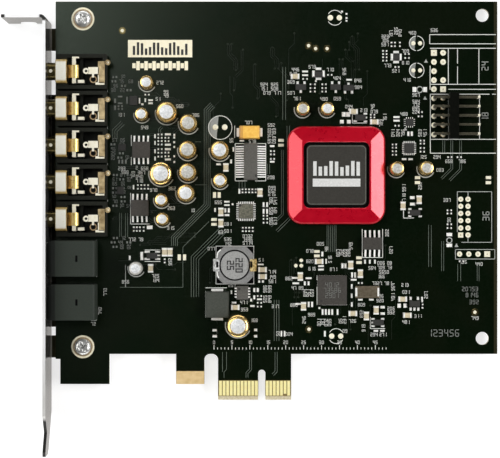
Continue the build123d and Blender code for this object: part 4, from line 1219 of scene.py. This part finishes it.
def leaf_section(x, y, z):
    """Outline of a spring leaf at one place along it."""
    near, far, high = y - LEAF_NEAR, y + LEAF_FAR, z + LEAF_GAUGE
    return [(x, near, z), (x, far, z), (x, far, high), (x, near, high)]


for n, y in enumerate(JACK_ROWS, 1):
    sleeve = new_piece(f"jack_sleeve_{n}", "jack_sleeve", "gold_plate")
    sleeve.loft([sleeve_section(x, y, inset) for x, inset in SLEEVE_ENDS])
    leaf = new_piece(f"jack_leaf_{n}", "spring_leaf", "spring_bronze")
    leaf.loft([leaf_section(x, y, z) for x, z in LEAF_PATH])
    strips = new_piece(f"jack_strips_{n}", "cream_gold", "spring_bronze")
    bars(strips, y, STRIP_BARS)
    strips.arc(STRIP_EYE[0], y + STRIP_EYE[1], 0.6, 0.47, WALL_TOP, STRIP_TOP)
    rear = new_piece(f"jack_rear_spring_{n}", "spring_bronze", "spring_bronze", f"jack_contacts_{n}")
    bars(rear, y, REAR_BARS)
    rear.arc(REAR_EYE[0], y + REAR_EYE[1], 0.55, 0.36, STRIP_TOP - EYE_DEPTH, STRIP_TOP)
    dark_rings.arc(DARK_EYE[0], y + DARK_EYE[1], 0.85, 0.3, WALL_TOP - EYE_DEPTH, STRIP_TOP - EYE_DEPTH)
    # Painted highlight on the nose's crest
    crest_highlights_and_eye_dots.lathe(CREST_X, y, CREST_HIGHLIGHT, 16, CREST)
    crest_highlights_and_eye_dots.lathe(REAR_EYE[0], y + REAR_EYE[1], REAR_DOT, 16, STRIP_TOP)

# Back of the board: solder joints of the jacks, the optical units, the header and the unfitted places
JACK_PINS = ((-55.2, -3.3), (-55.2, 3.3), (-48.6, 0.1), (-46.6, -2.2), (-43.6, 2.45))
OPTICAL_PINS = ((-54.0, -3.6), (-54.0, 3.6), (-45.2, -2.54), (-45.2, 0.0), (-45.2, 2.54))
HEADER_RANKS = (48.06, 50.6)
PIN_ROWS = (84.28, 81.74, 79.2, 76.66, 74.12)
back_joints = new_piece("back_joints", "solder", "tinned")
for rows, pins in ((JACK_ROWS, JACK_PINS), (OPTICAL_ROWS, OPTICAL_PINS)):
    for y in rows:
        for x, shift in pins:
            joint(back_joints, x, y + shift, 1.1, 1.2)
for x in HEADER_RANKS:
    for y in PIN_ROWS:
        joint(back_joints, x, y, 0.8, 0.9)
for x, y, radius in spread(EYELETS + DOMES[1:] + SQUARE_EYELETS):
    joint(back_joints, x, y, length(radius), 0.12)

# Heat spreader: four mitred bevels inside a rounded outline, then a lip, and a near-black ring of painted
# shade in the groove round its plate
SPREADER = (20.7, 62.6)
SPREADER_SIDE = 27.2
SPREADER_CORNER = 4.2
SPREADER_LOW = 2.2
BEVEL_LOW = 3.35
BEVEL_SIDE = 19.3
BEVEL_TOP = 5.14
SPREADER_EDGE = ((0.0, 0.6), (0.3, 0.22), (0.9, 0.0))
SPREADER_LIP = (
    (BEVEL_SIDE, 0.15, BEVEL_TOP), (19.1, 0.3, 5.2), (18.5, 1.6, 5.2), (18.3, 1.6, 5.1), (18.2, 1.6, 3.8),
)
GROOVE_SHADE_RINGS = ((18.15, 1.6, 3.8), (18.15, 1.6, 4.5), (16.65, 1.35, 4.5), (16.65, 1.35, 3.8))


def spreader_ring(inset):
    """Ring of points inside the spreader's outline."""
    return rounded_square(*SPREADER, SPREADER_SIDE - inset, SPREADER_CORNER - inset / 2, SPREADER_LOW)


def on_bevel(point, drop):
    """Point of the spreader's outline raised to the bevel that it lies on, less a drop."""
    out = max(abs(point[0] - SPREADER[0]), abs(point[1] - SPREADER[1]))
    share = (SPREADER_SIDE / 2 - out) / ((SPREADER_SIDE - BEVEL_SIDE) / 2)
    return point[0], point[1], BEVEL_LOW + share * (BEVEL_TOP - BEVEL_LOW) - drop


sections = [spreader_ring(0.0)]
sections += [[on_bevel(point, drop) for point in spreader_ring(inset)] for inset, drop in SPREADER_EDGE]
sections += [rounded_square(*SPREADER, *ring) for ring in SPREADER_LIP]
new_piece("spreader_frame", "red_lacquer", "red_lacquer", "heat_spreader", smooth=12.0).loft(sections)
# Painted shade: a near-black ring fills the groove between the lip and the plate
groove_shade = [rounded_square(*SPREADER, *ring) for ring in GROOVE_SHADE_RINGS]
new_piece("spreader_groove_shade", "near_black_and_shade").loft(groove_shade, closed=True)

# Inductor: an eight-sided shield on a black base, slots in its clips, wire ends and its value on the core
INDUCTOR = (-7.5, 37.6)
INDUCTOR_SIDE = 10.3
INDUCTOR_BORE = 4.3
SHIELD_CUT = 2.0
BASE_CUT = 0.5
INDUCTOR_BASE = TOP + 1.0
SHIELD_TURNS = full_turn(64, 0.5)
CLIP_SLOTS = ((217.2, 264.5), (251.3, 264.5))
COIL_WIRES = (((217, 258), (217.8, 252.5), (220.8, 249.6)), ((217, 271), (217.6, 275.5), (219, 278)))
shield_high, clip_high, core_high = (span(f"inductor_{part}")[2] for part in ("shield", "clips", "core"))


def eight_sided(side, cut, z):
    """Ring of points round a square with cut corners."""
    points = []
    for turn in SHIELD_TURNS:
        c, s = math.cos(turn), math.sin(turn)
        reach = min(side / 2 / max(abs(c), abs(s)), (side - cut) / (abs(c) + abs(s)))
        points.append((INDUCTOR[0] + reach * c, INDUCTOR[1] + reach * s, z))
    return points


def bore_ring(radius, z):
    """Ring of points round the inductor's bore."""
    return [(*point, z) for point in around(*INDUCTOR, radius, SHIELD_TURNS)]


new_piece("inductor_shield_ring", "ferrite", "ferrite", "inductor_shield").loft([
    eight_sided(INDUCTOR_SIDE, SHIELD_CUT, INDUCTOR_BASE),
    eight_sided(INDUCTOR_SIDE, SHIELD_CUT, shield_high - 0.3),
    eight_sided(INDUCTOR_SIDE - 0.5, SHIELD_CUT, shield_high),
    bore_ring(INDUCTOR_BORE + 0.2, shield_high),
    bore_ring(INDUCTOR_BORE, shield_high - 0.2),
    bore_ring(INDUCTOR_BORE, INDUCTOR_BASE),
], closed=True)
base_rings = [eight_sided(INDUCTOR_SIDE, BASE_CUT, z) for z in (TOP, INDUCTOR_BASE)]
new_piece("inductor_base", "near_black_and_shade").loft(base_rings)
half = INDUCTOR_SIDE / 2 + 0.12
white.stroke([point[:2] for point in rectangle(*INDUCTOR, half, half, TOP)], FINE_WIDTH, closed=True)
clip_slots = new_piece("clip_slots", "near_black_and_shade")
for px, py in CLIP_SLOTS:
    clip_slots.block(*spot(px, py, clip_high - TOP), 0.6, 1.7, clip_high, clip_high + FILM)
coil_wires = new_piece("coil_wires", "tinned", "tinned")
for path in COIL_WIRES:
    places = [spot(*point, shield_high - TOP) for point in path]
    coil_wires.stroke(places, 0.3, shield_high - 0.2, shield_high + 0.12)
core_value = new_piece("core_value", "dark_print")
for shift, digits in ((1.2, (2, 2, 0)), (-1.2, (2, 5))):
    number(core_value, INDUCTOR[0] + shift, INDUCTOR[1], digits, -1, 2.0, 0.3, core_high)

# Optical units: a moulded slot on the roof, and the light guide deep in the port
OPTICAL_TOP = 10.8
PORT_AXIS = 5.8
SLOT_X = -50.9
SLOT_SIZE = (0.63, 1.73)
SLOT_FRAME = (1.05, 2.1)
GUIDE = ((-50.46, 1.6), (-53.0, 1.6), (-53.1, 1.1), (-56.0, 1.1), (-56.2, 0.9))
GUIDE_TURNS = [-turn for turn in full_turn(24)]
slot_marks = new_piece("optical_slots", "near_black_and_shade")
slot_frames = new_piece("optical_slot_frames", "slate_moulding", "slate_moulding")
guides = new_piece("optical_guides", "guide_plastic")
for y in OPTICAL_ROWS:
    slot_marks.block(SLOT_X, y, *SLOT_SIZE, OPTICAL_TOP, OPTICAL_TOP + FILM)
    frame_path = [point[:2] for point in rectangle(SLOT_X - 0.1, y - 0.3, *SLOT_FRAME, OPTICAL_TOP)]
    slot_frames.stroke(frame_path, 0.1, OPTICAL_TOP, OPTICAL_TOP + 0.03, closed=True)
    guides.loft([[(x, *point) for point in around(y, PORT_AXIS, r, GUIDE_TURNS)] for x, r in GUIDE])

# Header: painted highlights at the tips of its pins, one of which is left out as a key
PIN_HEIGHTS = (2.1, 4.64)
PIN_TIP = 60.6
TIP_LENGTH = 0.76
TIP_WIDTH = 0.72
KEYED_PIN = (PIN_ROWS[3], PIN_HEIGHTS[0])
tip_highlights = new_piece("header_tip_highlights", "cream_gold", "gold_plate")
for y in PIN_ROWS:
    for z in PIN_HEIGHTS:
        if (y, z) != KEYED_PIN:
            place = PIN_TIP - TIP_LENGTH / 2, y, TIP_LENGTH, TIP_WIDTH
            tip_highlights.block(*place, z - TIP_WIDTH / 2, z + TIP_WIDTH / 2, 0.06)

# Crystal ends, pin-one dots on the chips, and numbers on the largest
CRYSTAL = (29.4, 30.1)
CRYSTAL_REACH = 3.05
CRYSTAL_END = (0.6, 2.5, 1.24)
PIN_DOTS = (
    ("converter_chip", 1.5, -3.9), ("codec_chip", -1.6, 1.6),
    ("bridge_chip", -3.0, -3.0), ("power_chip", -0.9, 1.0),
)
BRIDGE_NUMBERS = ((1.5, (4, 0, 1, 2)), (0.0, (7, 3, 5, 8, 6)), (-1.5, (2, 9, 0, 1)))
crystal_ends = new_piece("crystal_ends", "tinned", "tinned")
for side in (-1, 1):
    crystal_ends.stand(CRYSTAL[0] + side * CRYSTAL_REACH, CRYSTAL[1], *CRYSTAL_END, 0.06)
chip_marks = new_piece("chip_marks", "chip_epoxy", "chip_epoxy")
for chip, dx, dy in PIN_DOTS:
    (x, y, _), _, high = span(chip)
    chip_marks.lathe(x + dx, y + dy, ((0.36, 0), (0.32, FILM)), 20, high)
chip_numbers = new_piece("chip_numbers", "dim_print")
(x, y, _), _, high = span("bridge_chip")
for shift, digits in BRIDGE_NUMBERS:
    number(chip_numbers, x, y + shift, digits, 0, 1.4, 0.1, high - 0.03)

# Bar motif on the spreader's plate, and a painted highlight line round its edge
MOTIF_BARS = 9
MOTIF_STEP = 1.5
MOTIF_BAR = 0.95
MOTIF_BASE = (13.2, 2.2)
motif = new_piece("plate_motif", "plate_print")
(x, y, _), _, high = span("spreader_plate")
for n in range(MOTIF_BARS):
    tall = 1.6 + 2.6 * abs(math.cos(0.8 * n + 0.4))
    shift = (n - (MOTIF_BARS - 1) / 2) * MOTIF_STEP
    motif.block(x + shift, y - 0.2 + tall / 2, MOTIF_BAR, tall, high, high + PLATE_RISE)
motif.block(x, y - 2.1, *MOTIF_BASE, high, high + PLATE_RISE)
outline = [point[:2] for point in rounded_square(x, y, 16.1, 1.1, 0.0)]
new_piece("plate_rim_highlight", "plate_highlight").stroke(outline, 0.2, high, high + FILM, closed=True)

# Every batch becomes a piece that rides on the card
for batch in batches:
    piece = batch.build()
    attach(piece, "root")
    if batch.node:
        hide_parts(batch.node)

# Pale floor, soft lights and the camera
FLOOR_SIZE = 6.0
FLOOR_GLOW = 0.7
SOFTBOXES = {
    "corner_box": ((-0.235, 0.26, 0.62), (0.31, 0.38), 2.05, True),
    "left_fill_box": ((-0.235, -0.12, 0.62), (0.31, 0.38), 0.06, True),
    "left_box": ((-0.64, 0.0, 0.52), (1.0, 0.42), 2.75, False),
    "right_box": ((0.64, 0.0, 0.52), (0.7, 0.24), 7.6, False),
    "far_box": ((0.0, 0.9, 0.16), (1.4, 0.2), 3.0, False),
    "near_box": ((0.0, -0.9, 0.16), (1.4, 0.2), 3.0, False),
}


def only_seen(paint):
    """One for rays that come straight from the camera or off a mirror, nought for others."""
    path = paint.node("LightPath").outputs
    total = path["Is Camera Ray"]
    for name in ("Is Glossy Ray", "Is Transmission Ray"):
        larger = paint.node("Math", 0, total)
        larger.operation = "MAXIMUM"
        paint.tree.links.new(path[name], larger.inputs[1])
        total = larger.outputs["Value"]
    return total


def build_floor():
    """Pale sheet under the card, bright to the camera and still dark in the card's shadow."""
    paint = Paint("floor")
    paper = paint.mottle(paint.noise(40.0), (0.5, 0.5, 0.5), (0.52, 0.52, 0.52))
    paint.link(paint.between(only_seen(paint), 0, FLOOR_GLOW, 0, 1), "Emission Strength")
    made = paint.finish(paper, Roughness=0.9, Specular_IOR_Level=0.0, Emission_Color=(1, 1, 1, 1))
    mesh = bpy.data.meshes.new("floor")
    corners = rectangle(0, 0, FLOOR_SIZE / 2, FLOOR_SIZE / 2, cad_box[0].z)
    mesh.from_pydata(corners, [], [(0, 1, 2, 3)])
    mesh.materials.append(made)
    place_in_scene("floor", mesh)


def build_world():
    """Dim even surround."""
    world = bpy.data.worlds.new("studio")
    bpy.context.scene.world = world
    world.use_nodes = True
    background = world.node_tree.nodes["Background"]
    background.inputs["Color"].default_value = (1, 1, 1, 1)
    background.inputs["Strength"].default_value = 0.01
    bpy.context.scene.view_settings.view_transform = "Standard"


def softbox(name, position, size, radiance, level):
    """Rectangular light above the card, level or aimed at its middle."""
    light = bpy.data.lights.new(name, "AREA")
    light.shape = "RECTANGLE"
    light.size, light.size_y = size
    light.energy = 4 * size[0] * size[1] * radiance
    lamp = place_in_scene(name, light)
    lamp.location = Vector((VIEW_X * MM, VIEW_Y * MM, 0)) + Vector(position)
    if not level:
        lamp.rotation_euler = (-Vector(position)).to_track_quat("-Z", "Y").to_euler()


def build_camera():
    """Straight down on the board, as in the photograph."""
    data = bpy.data.cameras.new("camera")
    data.sensor_width = SENSOR
    data.lens = SENSOR * CAMERA_RISE * PIXELS_PER_MM / PHOTO_WIDTH
    camera = place_in_scene("camera", data)
    camera.location = (VIEW_X * MM, VIEW_Y * MM, (TOP + CAMERA_RISE) * MM)
    bpy.context.scene.camera = camera


build_floor()
build_world()
for name, details in SOFTBOXES.items():
    softbox(name, *details)
build_camera()
